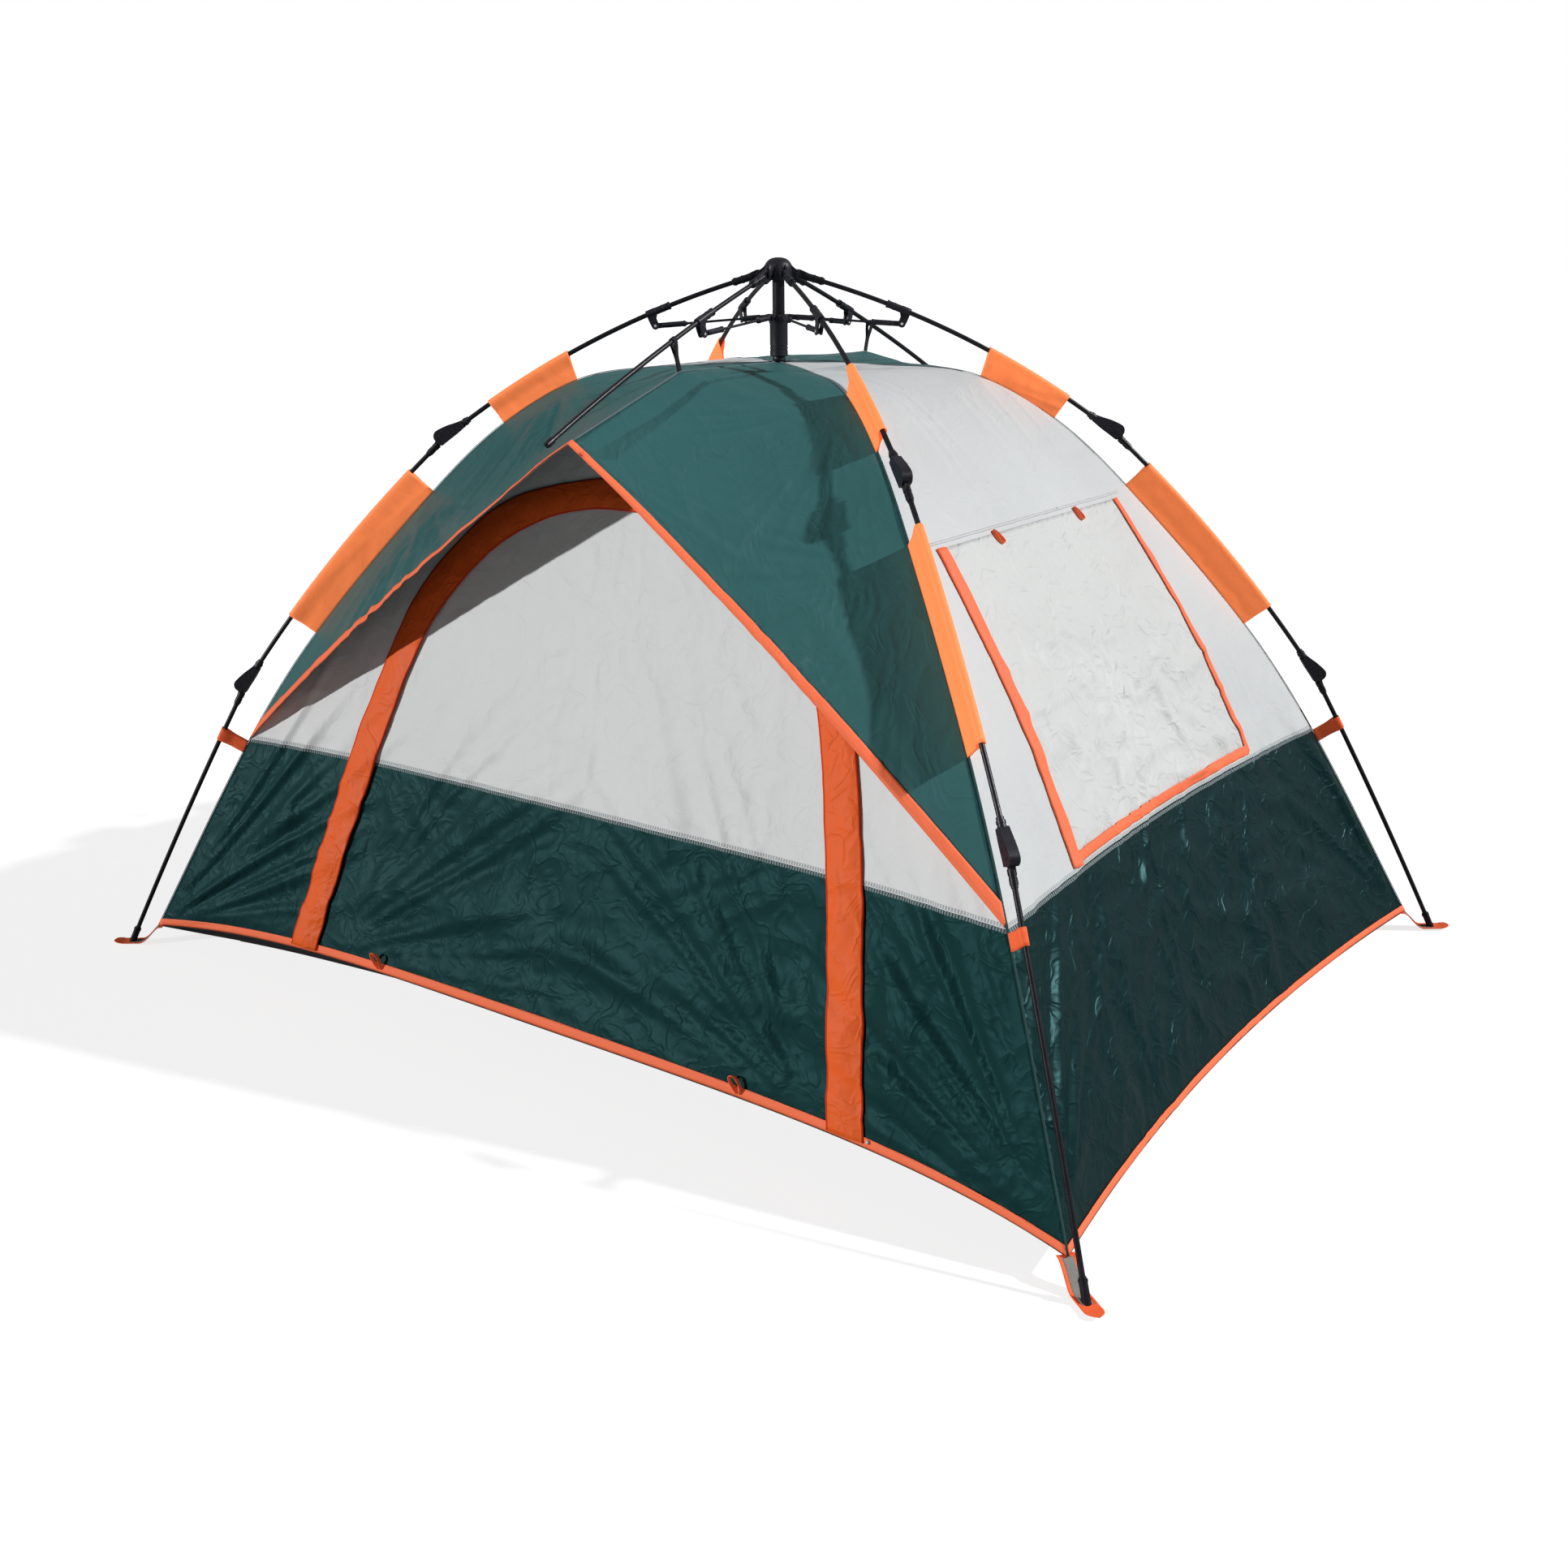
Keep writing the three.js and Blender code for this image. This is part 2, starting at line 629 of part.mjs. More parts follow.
function sheet(surface, columns, rows, thickness = clothThickness, outward = 0) {
  const tiny = 1e-3;
  const positions = [];
  const index = [];
  const normalAt = (u, v) => {
    const du = surface(u + tiny, v).sub(surface(u - tiny, v));
    const dv = surface(u, Math.min(v + tiny, 1)).sub(surface(u, Math.max(v - tiny, 0)));
    return du.cross(dv).normalize();
  };
  for (const depth of [outward, outward - thickness]) {
    for (let j = 0; j <= rows; j += 1) {
      for (let i = 0; i <= columns; i += 1) {
        const u = -1 + (2 * i) / columns;
        const v = j / rows;
        const point = surface(u, v).addScaledVector(normalAt(u, v), depth);
        positions.push(point.x, point.y, point.z);
      }
    }
  }
  const layer = (rows + 1) * (columns + 1);
  const id = (i, j, k) => k * layer + j * (columns + 1) + i;
  const quad = (a, b, c, d) => index.push(a, b, c, a, c, d);
  for (let j = 0; j < rows; j += 1) {
    for (let i = 0; i < columns; i += 1) {
      quad(id(i, j, 0), id(i + 1, j, 0), id(i + 1, j + 1, 0), id(i, j + 1, 0));
      quad(id(i, j, 1), id(i, j + 1, 1), id(i + 1, j + 1, 1), id(i + 1, j, 1));
    }
  }
  for (let i = 0; i < columns; i += 1) {
    quad(id(i, 0, 0), id(i, 0, 1), id(i + 1, 0, 1), id(i + 1, 0, 0));
    quad(id(i, rows, 0), id(i + 1, rows, 0), id(i + 1, rows, 1), id(i, rows, 1));
  }
  for (let j = 0; j < rows; j += 1) {
    quad(id(0, j, 0), id(0, j + 1, 0), id(0, j + 1, 1), id(0, j, 1));
    quad(id(columns, j, 0), id(columns, j, 1), id(columns, j + 1, 1), id(columns, j + 1, 0));
  }
  const geometry = new THREE.BufferGeometry();
  geometry.setAttribute("position", new THREE.Float32BufferAttribute(positions, 3));
  geometry.setIndex(index);
  return geometry;
}

const lerp = (a, b, share) => a.clone().lerp(b, share);
const mix = THREE.MathUtils.lerp;

// The front leg's seam on the side that u points to.
function frontSeam(radius, u) {
  const point = seam(radius);
  const side = u < 0 ? -1 : 1;
  return new THREE.Vector3(side * point.x * Math.cos(legAngle), -point.x * Math.sin(legAngle), point.z);
}

function ridge(share) {
  const reach = share * hoodReach;
  const beyond = Math.max(reach - ridgeStrapReach, 0) / (hoodReach - ridgeStrapReach);
  const within = Math.min(reach / ridgeStrapReach, 1);
  const height = mix(apexHeight, ridgeStrapHeight, within) + beyond * (hoodTipHeight - ridgeStrapHeight);
  return new THREE.Vector3(0, -reach, height);
}

// Front roof and hood: from the hood's edge at v = 0 up to the apex.
function roofPoint(share, u) {
  const across = Math.abs(u);
  const point = lerp(ridge(share), frontSeam(share * bandRadius, u), across);
  point.z += hoodLift * 4 * across * (1 - across) * share * share;
  return point;
}

const roofStart = apexOpening / hoodReach;
const roofSurface = (u, v) => roofPoint(mix(1, roofStart, v), u);

// Front wall: a plane that leans in, drawn out to the hem's corners and up to the underside of the roof.
const wallLean = (wallHemReach - wallTopReach) / (wallTopHeight - wallHemHeight);
const wallPlane = (height) => -wallHemReach + wallLean * (height - wallHemHeight);
const hemPower = 4;

function wallHem(u) {
  const corner = frontSeam(hemRadius, u);
  const pull = Math.abs(u) ** hemPower;
  return new THREE.Vector3(Math.abs(u) * corner.x, mix(-wallHemReach, corner.y, pull), mix(wallHemHeight, corner.z, pull));
}

function wallTop(u) {
  let low = 0;
  let high = 1;
  const halvings = 24;
  for (let i = 0; i < halvings; i += 1) {
    const middle = (low + high) / 2;
    const point = roofPoint(middle, u);
    if (point.y > wallPlane(point.z)) low = middle;
    else high = middle;
  }
  return roofPoint(low, u);
}

const joinRadius = wallTop(1).setZ(0).length();

function wallSurface(u, v) {
  const edge = frontSeam(mix(hemRadius, joinRadius, v), u);
  const chord = lerp(frontSeam(hemRadius, u), frontSeam(joinRadius, u), v);
  const bend = edge.sub(chord).multiplyScalar(Math.abs(u) ** hemPower);
  return lerp(wallHem(u), wallTop(u), v).add(bend);
}

// Side panel: from the hem up to the apex between two seams, drawn in where the cloth is slack.
function sidePoint(radius, u) {
  const point = seam(radius);
  const slack = Math.max(radius - sideSagFromRadius, 0) / (hemRadius - sideSagFromRadius);
  const sag = sideSag * slack * (1 - u * u);
  const drop = (hemCornerHeight - sideHemHeight) * slack * slack * (1 - u * u);
  return new THREE.Vector3(point.x * Math.cos(legAngle) - sag, u * point.x * Math.sin(legAngle), point.z - drop);
}

const sideSurface = (u, v) => sidePoint(mix(hemRadius, apexOpening, v), u);

// A wedge of the plan between two seams, so that neighbouring panels keep a gap along each seam.
function wedge(front) {
  const shift = seamGap / 2 / (front ? Math.cos(legAngle) : Math.sin(legAngle));
  const reach = 2 * footRadius;
  const alongX = reach * Math.cos(legAngle);
  const alongY = reach * Math.sin(legAngle);
  const outline = front
    ? [new THREE.Vector2(0, -shift), new THREE.Vector2(-alongX, -alongY - shift), new THREE.Vector2(alongX, -alongY - shift)]
    : [new THREE.Vector2(shift, 0), new THREE.Vector2(alongX + shift, -alongY), new THREE.Vector2(alongX + shift, alongY)];
  const depth = capTop + overrun;
  return new THREE.ExtrudeGeometry(new THREE.Shape(outline), { depth, bevelEnabled: false }).translate(0, 0, -overrun);
}

// A prism through the front wall from an outline in x and z, or through the side from one in y and z.
function prism(outline, front) {
  const shape = new THREE.Shape(outline);
  const depth = footRadius;
  const geometry = new THREE.ExtrudeGeometry(shape, { depth, bevelEnabled: false });
  geometry.rotateX(right);
  return front ? geometry : geometry.rotateZ(right);
}

// Door: a rounded arch inside the zip cover, as shares of its half width at the foot and its height.
const doorFoot = 86;
const doorRiseShare = 0.707203;
const doorHalfWidthShare = 0.55;
const doorGap = 0.9;
const doorRise = doorRiseShare * apexHeight;
const doorHalfWidth = doorHalfWidthShare * footHalfSpanX;
const doorArchShares = [[1, 0], [0.88, 0.431], [0.727, 0.709], [0.545, 0.862], [0.373, 0.939], [0.182, 0.987], [0, 1]];

function archOutline(grow) {
  const rightSide = doorArchShares.map(([acrossShare, upShare]) => {
    const out = acrossShare ? grow : 0;
    const up = upShare ? grow : -grow;
    return new THREE.Vector2(doorHalfWidth * acrossShare + out, doorFoot + doorRise * upShare + up);
  });
  const leftSide = rightSide.slice(0, -1).reverse().map((p) => new THREE.Vector2(-p.x, p.y));
  return [...rightSide, ...leftSide];
}

// Window: a trapezium behind a zipped flap, hinged on its top seam.
const windowTopShare = 0.78391;
const windowBottomShare = 0.39289;
const windowTopHalfShare = 0.388889;
const windowBottomHalfShare = 0.443089;
const windowGap = 0.9;
const screenLap = 12;
const screenDepth = clothThickness + seatGap;
const screenThickness = 1.6;
const windowTop = windowTopShare * apexHeight;
const windowBottom = windowBottomShare * apexHeight;
const windowTopHalf = windowTopHalfShare * footHalfSpanY;
const windowBottomHalf = windowBottomHalfShare * footHalfSpanY;

function windowOutline(grow) {
  return [
    new THREE.Vector2(-windowBottomHalf - grow, windowBottom - grow),
    new THREE.Vector2(windowBottomHalf + grow, windowBottom - grow),
    new THREE.Vector2(windowTopHalf + grow, windowTop + grow),
    new THREE.Vector2(-windowTopHalf - grow, windowTop + grow),
  ];
}

// Black webbing that hangs the ridge from the awning pole
const ridgeLoopDistance = 272;
const ridgeLoopWidth = 9;
const ridgeLoopThickness = 2;

function ridgeStrap() {
  const hold = rodFrame(awningLine, ridgeLoopDistance);
  const ring = stretch(awningLine, ridgeLoopDistance - ridgeLoopWidth / 2, ridgeLoopDistance + ridgeLoopWidth / 2, 1);
  const base = new THREE.Vector3(ridgeStrapReach, 0, ridgeStrapHeight - clothThickness);
  const wrap = (sleeveBore + sleeveRadius) / 2;
  const half = new THREE.Vector3(ridgeLoopWidth / 2, 0, 0);
  const web = [hold.at(-ridgeLoopWidth / 2, -wrap), base.clone().sub(half), base.clone().add(half), hold.at(ridgeLoopWidth / 2, -wrap)];
  return tube(ring, sleeveRadius, sleeveBore, -right).add(plate(web, ridgeLoopThickness, 0, -right));
}

// Orange webbing from the side panel's corner round each lower leg
const strapDistance = 103;
const strapWidth = 25;
const strapThickness = 2;

function cornerStrap(azimuth, side) {
  const hold = rodFrame(lowerLine, strapDistance);
  const ring = stretch(lowerLine, strapDistance - strapWidth / 2, strapDistance + strapWidth / 2, 1);
  const wrap = (sleeveBore + sleeveRadius) / 2;
  const root = nearestSeam(hold.point);
  const inside = root.clone().addScaledVector(hold.out, -clothThickness);
  const half = hold.down.clone().multiplyScalar(strapWidth / 2);
  const web = [hold.at(-strapWidth / 2, -wrap), hold.at(strapWidth / 2, -wrap), inside.clone().add(half), inside.clone().sub(half)];
  const offset = side * (seamGap + strapThickness) / 2;
  return tube(ring, sleeveRadius, sleeveBore, azimuth).add(plate(web, strapThickness, offset, azimuth));
}

const panelColumns = 12;
const panelRows = 8;

// The largest of the bodies that a cut leaves
function largest(body) {
  return body.decompose().reduce((most, part) => (part.volume() > most.volume() ? part : most));
}

// Every panel is made once for the front or the right and turned half a circle for the back or the left.
for (const { name, spin } of [{ name: "front", spin: 0 }, { name: "back", spin: Math.PI }]) {
  const half = new THREE.Group();
  half.rotation.z = spin;
  tent.add(half);
  const sector = solid(wedge(true));
  const roof = solid(sheet(roofSurface, panelColumns, panelRows));
  const roofClear = solid(sheet(roofSurface, panelColumns, panelRows, clothThickness + 2 * seamGap, seamGap));
  const wall = largest(solid(sheet(wallSurface, panelColumns, panelRows)).subtract(roofClear).intersect(sector));
  const doorway = solid(prism(archOutline(doorGap), true));
  const door = solid(prism(archOutline(0), true));
  addNode("roof_" + name, roof.intersect(sector).add(ridgeStrap()), cloth("green"), half);
  addNode("wall_" + name, wall.subtract(doorway), cloth("cream"), half);
  addNode("door_" + name, wall.intersect(door), cloth("cream"), half);
}

for (const { name, spin } of [{ name: "right", spin: 0 }, { name: "left", spin: Math.PI }]) {
  const half = new THREE.Group();
  half.rotation.z = spin;
  tent.add(half);
  const sector = solid(wedge(false));
  const panel = solid(sheet(sideSurface, panelColumns, panelRows + panelRows / 2)).intersect(sector);
  const screen = solid(sheet(sideSurface, panelColumns, panelRows + panelRows / 2, screenThickness, -screenDepth));
  const opening = solid(prism(windowOutline(windowGap), false));
  const flap = solid(prism(windowOutline(0), false));
  const screenCut = solid(prism(windowOutline(screenLap), false));
  const strapped = panel.subtract(opening).add(cornerStrap(legAngle, -1)).add(cornerStrap(-legAngle, 1));
  addNode("side_" + name, strapped, cloth("cream"), half);
  addNode("window_flap_" + name, panel.intersect(flap), cloth("cream"), half);
  addNode("window_screen_" + name, screen.intersect(screenCut), cloth("mesh"), half);
}

// Groundsheet: a flat floor with a low rim up to the hem, and a webbing tab out to each foot
const floorInsetFront = 120;
const floorInsetSide = 150;
const floorInsetCorner = 150;
const rimColumns = 12;
const tabWidth = 26;
const tabBeyond = 34;
const tabLift = 6;
const tabStep = 30;

function floorEdge(hem, inset, u) {
  const point = hem(u);
  const draw = mix(inset, floorInsetCorner, Math.abs(u) ** hemPower);
  const flat = new THREE.Vector3(point.x, point.y, 0);
  return flat.addScaledVector(flat.clone().normalize(), -draw);
}

function frontHem(u) {
  const point = wallHem(u);
  return new THREE.Vector3(Math.sign(u) * Math.abs(point.x), point.y, point.z);
}

const sideHem = (u) => sidePoint(hemRadius, u);

function rim(hem, inset) {
  return (u, v) => {
    const low = floorEdge(hem, inset, u);
    const high = hem(u);
    high.z -= clothThickness + 2 * seamGap;
    return lerp(low, high, v);
  };
}

function floorOutline() {
  const share = (i) => -1 + (2 * i) / rimColumns;
  const front = Array.from({ length: rimColumns }, (_, i) => floorEdge(frontHem, floorInsetFront, share(i)));
  const side = Array.from({ length: rimColumns }, (_, i) => floorEdge(sideHem, floorInsetSide, share(i)));
  const turn = (p) => new THREE.Vector3(-p.x, -p.y, 0);
  return [...front, ...side, ...front.map(turn), ...side.map(turn)].map((p) => new THREE.Vector2(p.x, p.y));
}

function footTab(azimuth) {
  const lift = hemCornerHeight - tabLift;
  const start = hemRadius - tabStep / 2;
  const end = footRadius + tabBeyond;
  const landing = hemRadius + tabStep;
  const outline = [
    new THREE.Vector3(start, 0, 0),
    new THREE.Vector3(end, 0, 0),
    new THREE.Vector3(end, 0, tabThickness),
    new THREE.Vector3(landing, 0, tabThickness),
    new THREE.Vector3(hemRadius, 0, lift),
    new THREE.Vector3(start, 0, lift),
  ];
  return plate(outline, tabWidth, 0, azimuth);
}

const floorShape = new THREE.Shape(floorOutline());
let groundsheet = solid(new THREE.ExtrudeGeometry(floorShape, { depth: clothThickness, bevelEnabled: false }));
for (const spin of [0, Math.PI]) {
  groundsheet = groundsheet.add(solid(sheet(rim(frontHem, floorInsetFront), rimColumns, 1).rotateZ(spin)));
  groundsheet = groundsheet.add(solid(sheet(rim(sideHem, floorInsetSide), rimColumns, 1).rotateZ(spin)));
}
for (const { azimuth } of corners) groundsheet = groundsheet.add(footTab(azimuth));
addNode("groundsheet", groundsheet, cloth("black"));

export default tent;
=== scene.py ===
import math
from bisect import bisect_right
from functools import lru_cache

import bmesh
import bpy
from mathutils import Matrix, Vector, noise


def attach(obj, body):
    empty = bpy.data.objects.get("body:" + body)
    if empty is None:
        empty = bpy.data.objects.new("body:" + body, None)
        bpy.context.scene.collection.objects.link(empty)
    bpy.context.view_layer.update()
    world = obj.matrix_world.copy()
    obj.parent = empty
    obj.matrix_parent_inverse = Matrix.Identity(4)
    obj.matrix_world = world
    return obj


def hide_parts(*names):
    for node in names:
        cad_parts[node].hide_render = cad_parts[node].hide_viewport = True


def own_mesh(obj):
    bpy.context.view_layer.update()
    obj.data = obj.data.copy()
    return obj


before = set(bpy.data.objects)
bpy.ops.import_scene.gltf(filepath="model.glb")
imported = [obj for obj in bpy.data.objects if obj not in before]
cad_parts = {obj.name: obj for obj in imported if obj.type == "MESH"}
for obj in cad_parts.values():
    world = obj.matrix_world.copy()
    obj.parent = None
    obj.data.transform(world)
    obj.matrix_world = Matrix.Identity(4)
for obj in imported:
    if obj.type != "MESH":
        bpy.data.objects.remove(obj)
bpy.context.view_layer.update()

scene = bpy.context.scene
scene.view_settings.view_transform = "Standard"
mm = 0.001


# The studio: a pale floor, white behind, and a camera off the tent's front right corner.
# One hard lamp from the left throws the hood's shadow on the wall, one from the right lights the side.

camera_target = Vector((-0.0504, 0.0745, 0.2756))
camera_distance = 3.2587
camera_azimuth = math.radians(35.91)
camera_elevation = math.radians(18.0649)
camera_roll = math.radians(-0.4492)

back = Vector((
    math.sin(camera_azimuth) * math.cos(camera_elevation),
    -math.cos(camera_azimuth) * math.cos(camera_elevation),
    math.sin(camera_elevation),
))
level = Vector((0, 0, 1)).cross(back).normalized()
rise = back.cross(level)
across = level * math.cos(camera_roll) + rise * math.sin(camera_roll)
upward = rise * math.cos(camera_roll) - level * math.sin(camera_roll)
camera = bpy.data.objects.new("camera", bpy.data.cameras.new("camera"))
camera.data.sensor_width = 36
camera.data.lens = 39.06
camera.data.clip_end = 200
placed = Matrix((across, upward, back)).transposed().to_4x4()
placed.translation = camera_target + back * camera_distance
camera.matrix_world = placed
scene.collection.objects.link(camera)
scene.camera = camera


def sun(name, travel, strength, softness):
    """A distant lamp whose light travels along a direction."""
    lamp = bpy.data.objects.new(name, bpy.data.lights.new(name, "SUN"))
    lamp.data.energy = strength
    lamp.data.angle = math.radians(softness)
    lamp.rotation_mode = "QUATERNION"
    lamp.rotation_quaternion = Vector(travel).to_track_quat("-Z", "Y")
    scene.collection.objects.link(lamp)


sun("key_from_left", (0.70, 1.0, -0.348), 2.35, 1.5)
sun("side_from_right", (-0.72, -0.38, -0.58), 3.5, 2.0)


def add_node(tree, kind, inputs=None, **settings):
    """A shader node with its settings, and its sockets set or joined."""
    made = tree.nodes.new(kind)
    for name, value in settings.items():
        setattr(made, name, value)
    for name, value in (inputs or {}).items():
        if isinstance(value, bpy.types.NodeSocket):
            tree.links.new(value, made.inputs[name])
        else:
            made.inputs[name].default_value = value
    return made


def dye(red, green, blue):
    """A colour as a screen shows it, in the linear values that a shader takes."""
    def linear(value):
        value /= 255
        return value / 12.92 if value <= 0.04045 else ((value + 0.055) / 1.055) ** 2.4
    return (linear(red), linear(green), linear(blue), 1.0)


def bare_material(name):
    """A material with an empty node tree."""
    made = bpy.data.materials.new(name)
    made.use_nodes = True
    made.node_tree.nodes.clear()
    return made, made.node_tree


sky_on_object = 0.06
sky_in_gloss = 0.25
floor_grey = 0.34
floor_lift = 0.78

world = bpy.data.worlds.new("studio")
scene.world = world
world.use_nodes = True
tree = world.node_tree
tree.nodes.clear()
light_path = add_node(tree, "ShaderNodeLightPath")
shown = add_node(tree, "ShaderNodeMath", {0: light_path.outputs["Is Glossy Ray"], 1: sky_in_gloss},
                 operation="MULTIPLY")
seen = add_node(tree, "ShaderNodeMath", {0: light_path.outputs["Is Camera Ray"], 1: shown.outputs[0]},
                operation="MAXIMUM")
seen = add_node(tree, "ShaderNodeMath", {0: seen.outputs[0], 1: light_path.outputs["Is Transmission Ray"]},
                operation="MAXIMUM")
strength = add_node(tree, "ShaderNodeMapRange", {"Value": seen.outputs[0], "To Min": sky_on_object, "To Max": 1.0})
glow = add_node(tree, "ShaderNodeBackground", {"Color": (1, 1, 1, 1), "Strength": strength.outputs[0]})
add_node(tree, "ShaderNodeOutputWorld", {"Surface": glow.outputs[0]})

floor_finish, tree = bare_material("studio_floor")
paint = add_node(tree, "ShaderNodeBsdfDiffuse", {"Color": (floor_grey, floor_grey, floor_grey, 1)})
light_path = add_node(tree, "ShaderNodeLightPath")
lift = add_node(tree, "ShaderNodeMath", {0: light_path.outputs["Is Camera Ray"], 1: floor_lift}, operation="MULTIPLY")
glow = add_node(tree, "ShaderNodeEmission", {"Color": (1, 1, 1, 1), "Strength": lift.outputs[0]})
both = add_node(tree, "ShaderNodeAddShader", {0: paint.outputs[0], 1: glow.outputs[0]})
add_node(tree, "ShaderNodeOutputMaterial", {"Surface": both.outputs[0]})

bm = bmesh.new()
bmesh.ops.create_grid(bm, x_segments=2, y_segments=2, size=40)
bmesh.ops.translate(bm, verts=bm.verts, vec=(0, 0, -0.5 * mm))
mesh = bpy.data.meshes.new("floor")
bm.to_mesh(mesh)
bm.free()
mesh.materials.append(floor_finish)
floor = bpy.data.objects.new("floor", mesh)
scene.collection.objects.link(floor)


# Frame of black plastic fittings and glass fibre poles: the hub's dome, its post and the runner on it.
# The dome and the runner are moulded with a pair of cheeks for each pole, and riveted to its arm.

foot_across, foot_deep = 1.0, 0.738
foot_radius = math.hypot(foot_across, foot_deep)
leg_angle = math.atan2(foot_deep, foot_across)
corners = {
    "front_left": math.pi + leg_angle,
    "front_right": -leg_angle,
    "back_right": leg_angle,
    "back_left": math.pi - leg_angle,
}
awnings = {"front": -math.pi / 2, "back": math.pi / 2}
spokes = {**corners, **awnings}


def calc(tree, operation, first, second=0.0, third=0.0):
    """The output of a shader sum."""
    return add_node(tree, "ShaderNodeMath", {0: first, 1: second, 2: third}, operation=operation).outputs[0]


def new_group(name, inputs, outputs):
    """A shader group with named inputs and outputs."""
    group = bpy.data.node_groups.new(name, "ShaderNodeTree")
    kinds = {"Colour": "NodeSocketColor", "Place": "NodeSocketVector"}
    for label, default in inputs.items():
        socket = group.interface.new_socket(label, in_out="INPUT", socket_type=kinds.get(label, "NodeSocketFloat"))
        if label != "Place":
            socket.default_value = default
    for label in outputs:
        group.interface.new_socket(label, in_out="OUTPUT", socket_type=kinds.get(label, "NodeSocketFloat"))
    return group, group.nodes.new("NodeGroupInput"), group.nodes.new("NodeGroupOutput")


def shade(tree, colour, dark, light, share):
    """A colour that varies between a darker and a lighter self."""
    factor = add_node(tree, "ShaderNodeMapRange", {"Value": share, "To Min": dark, "To Max": light}).outputs[0]
    grey = add_node(tree, "ShaderNodeCombineColor", {"Red": factor, "Green": factor, "Blue": factor}).outputs[0]
    mixed = add_node(tree, "ShaderNodeMix", data_type="RGBA", blend_type="MULTIPLY")
    mixed.inputs[0].default_value = 1
    tree.links.new(colour, mixed.inputs[6])
    tree.links.new(grey, mixed.inputs[7])
    return mixed.outputs[2]


grain_depth = 0.03 * mm
cloud_depth = 0.1 * mm

moulded, group_in, group_out = new_group(
    "moulded_black", {"Place": None, "Colour": (0, 0, 0, 1), "Grain": 1.0, "Gloss": 0.3},
    ("Colour", "Roughness", "Height"))
cloud = add_node(moulded, "ShaderNodeTexNoise", {"Vector": group_in.outputs["Place"], "Scale": 55.0, "Detail": 4.0})
grain = add_node(moulded, "ShaderNodeTexNoise", {"Vector": group_in.outputs["Place"], "Scale": 1500.0, "Detail": 2.0})
scuffs = add_node(moulded, "ShaderNodeTexNoise",
                  {"Vector": group_in.outputs["Place"], "Scale": 160.0, "Detail": 6.0, "Distortion": 2.0})
worn = calc(moulded, "POWER", scuffs.outputs[0], 5.0)
tone = calc(moulded, "MULTIPLY_ADD", worn, 3.0, cloud.outputs[0])
moulded.links.new(shade(moulded, group_in.outputs["Colour"], 0.7, 1.5, tone), group_out.inputs["Colour"])
rough = calc(moulded, "MULTIPLY_ADD", cloud.outputs[0], 0.2, group_in.outputs["Gloss"])
moulded.links.new(calc(moulded, "MULTIPLY_ADD", worn, 0.8, rough), group_out.inputs["Roughness"])
height = calc(moulded, "MULTIPLY", grain.outputs[0], grain_depth)
height = calc(moulded, "MULTIPLY_ADD", cloud.outputs[0], cloud_depth, height)
moulded.links.new(calc(moulded, "MULTIPLY", height, group_in.outputs["Grain"]), group_out.inputs["Height"])


def finish_from(name, group, values, place, gloss_level, bump=1.0, **plain):
    """A material whose colour, roughness and relief come from a shared group."""
    made, tree = bare_material(name)
    where = add_node(tree, "ShaderNodeTexCoord")
    detail = add_node(tree, "ShaderNodeGroup", node_tree=group)
    tree.links.new(where.outputs[place], detail.inputs["Place"])
    for label, value in values.items():
        detail.inputs[label].default_value = value
    relief = add_node(tree, "ShaderNodeBump",
                      {"Height": detail.outputs["Height"], "Strength": bump, "Distance": 1.0})
    surface = add_node(tree, "ShaderNodeBsdfPrincipled", {
        "Base Color": detail.outputs["Colour"],
        "Roughness": detail.outputs["Roughness"],
        "Normal": relief.outputs[0],
        "Specular IOR Level": gloss_level,
    })
    for label, value in plain.items():
        surface.inputs[label.replace("_", " ").title()].default_value = value
    add_node(tree, "ShaderNodeOutputMaterial", {"Surface": surface.outputs[0]})
    return made


fitting_black = finish_from(
    "fitting_black", moulded, {"Colour": dye(24, 24, 32), "Grain": 0.3, "Gloss": 0.3}, "Object", 0.3)
pole_black = finish_from(
    "pole_black", moulded, {"Colour": dye(18, 18, 24), "Grain": 0.12, "Gloss": 0.22}, "Object", 0.25)
rivet_white = finish_from(
    "rivet_white", moulded, {"Colour": dye(190, 188, 182), "Grain": 0.3, "Gloss": 0.3}, "Object", 0.4)


def spot(out, up):
    """A point in a pole's own upright plane, from millimetres out from the hub and up."""
    return Vector((out * mm, 0, up * mm))


class Pole:
    """The sprung line of one pole in its own upright plane, measured along it in metres."""

    def __init__(self, start, end, bow):
        along = end - start
        outward = Vector((-along.z, 0, along.x)).normalized()
        pulled = (start + end) / 2 + outward * 2 * bow
        self.points, self.reached = [start], [0.0]
        steps = 200
        for i in range(1, steps + 1):
            t = i / steps
            point = start * (1 - t) ** 2 + pulled * 2 * t * (1 - t) + end * t * t
            self.reached.append(self.reached[-1] + (point - self.points[-1]).length)
            self.points.append(point)
        self.length = self.reached[-1]

    def aim(self, distance):
        """The way down the pole and the way out from the tent."""
        i = min(max(bisect_right(self.reached, distance) - 1, 0), len(self.points) - 2)
        down = (self.points[i + 1] - self.points[i]).normalized()
        return i, down, Vector((-down.z, 0, down.x))

    def at(self, distance, out=0.0):
        """The point at a distance along the line, or out from it."""
        i, down, outward = self.aim(distance)
        return self.points[i] + down * (distance - self.reached[i]) + outward * out


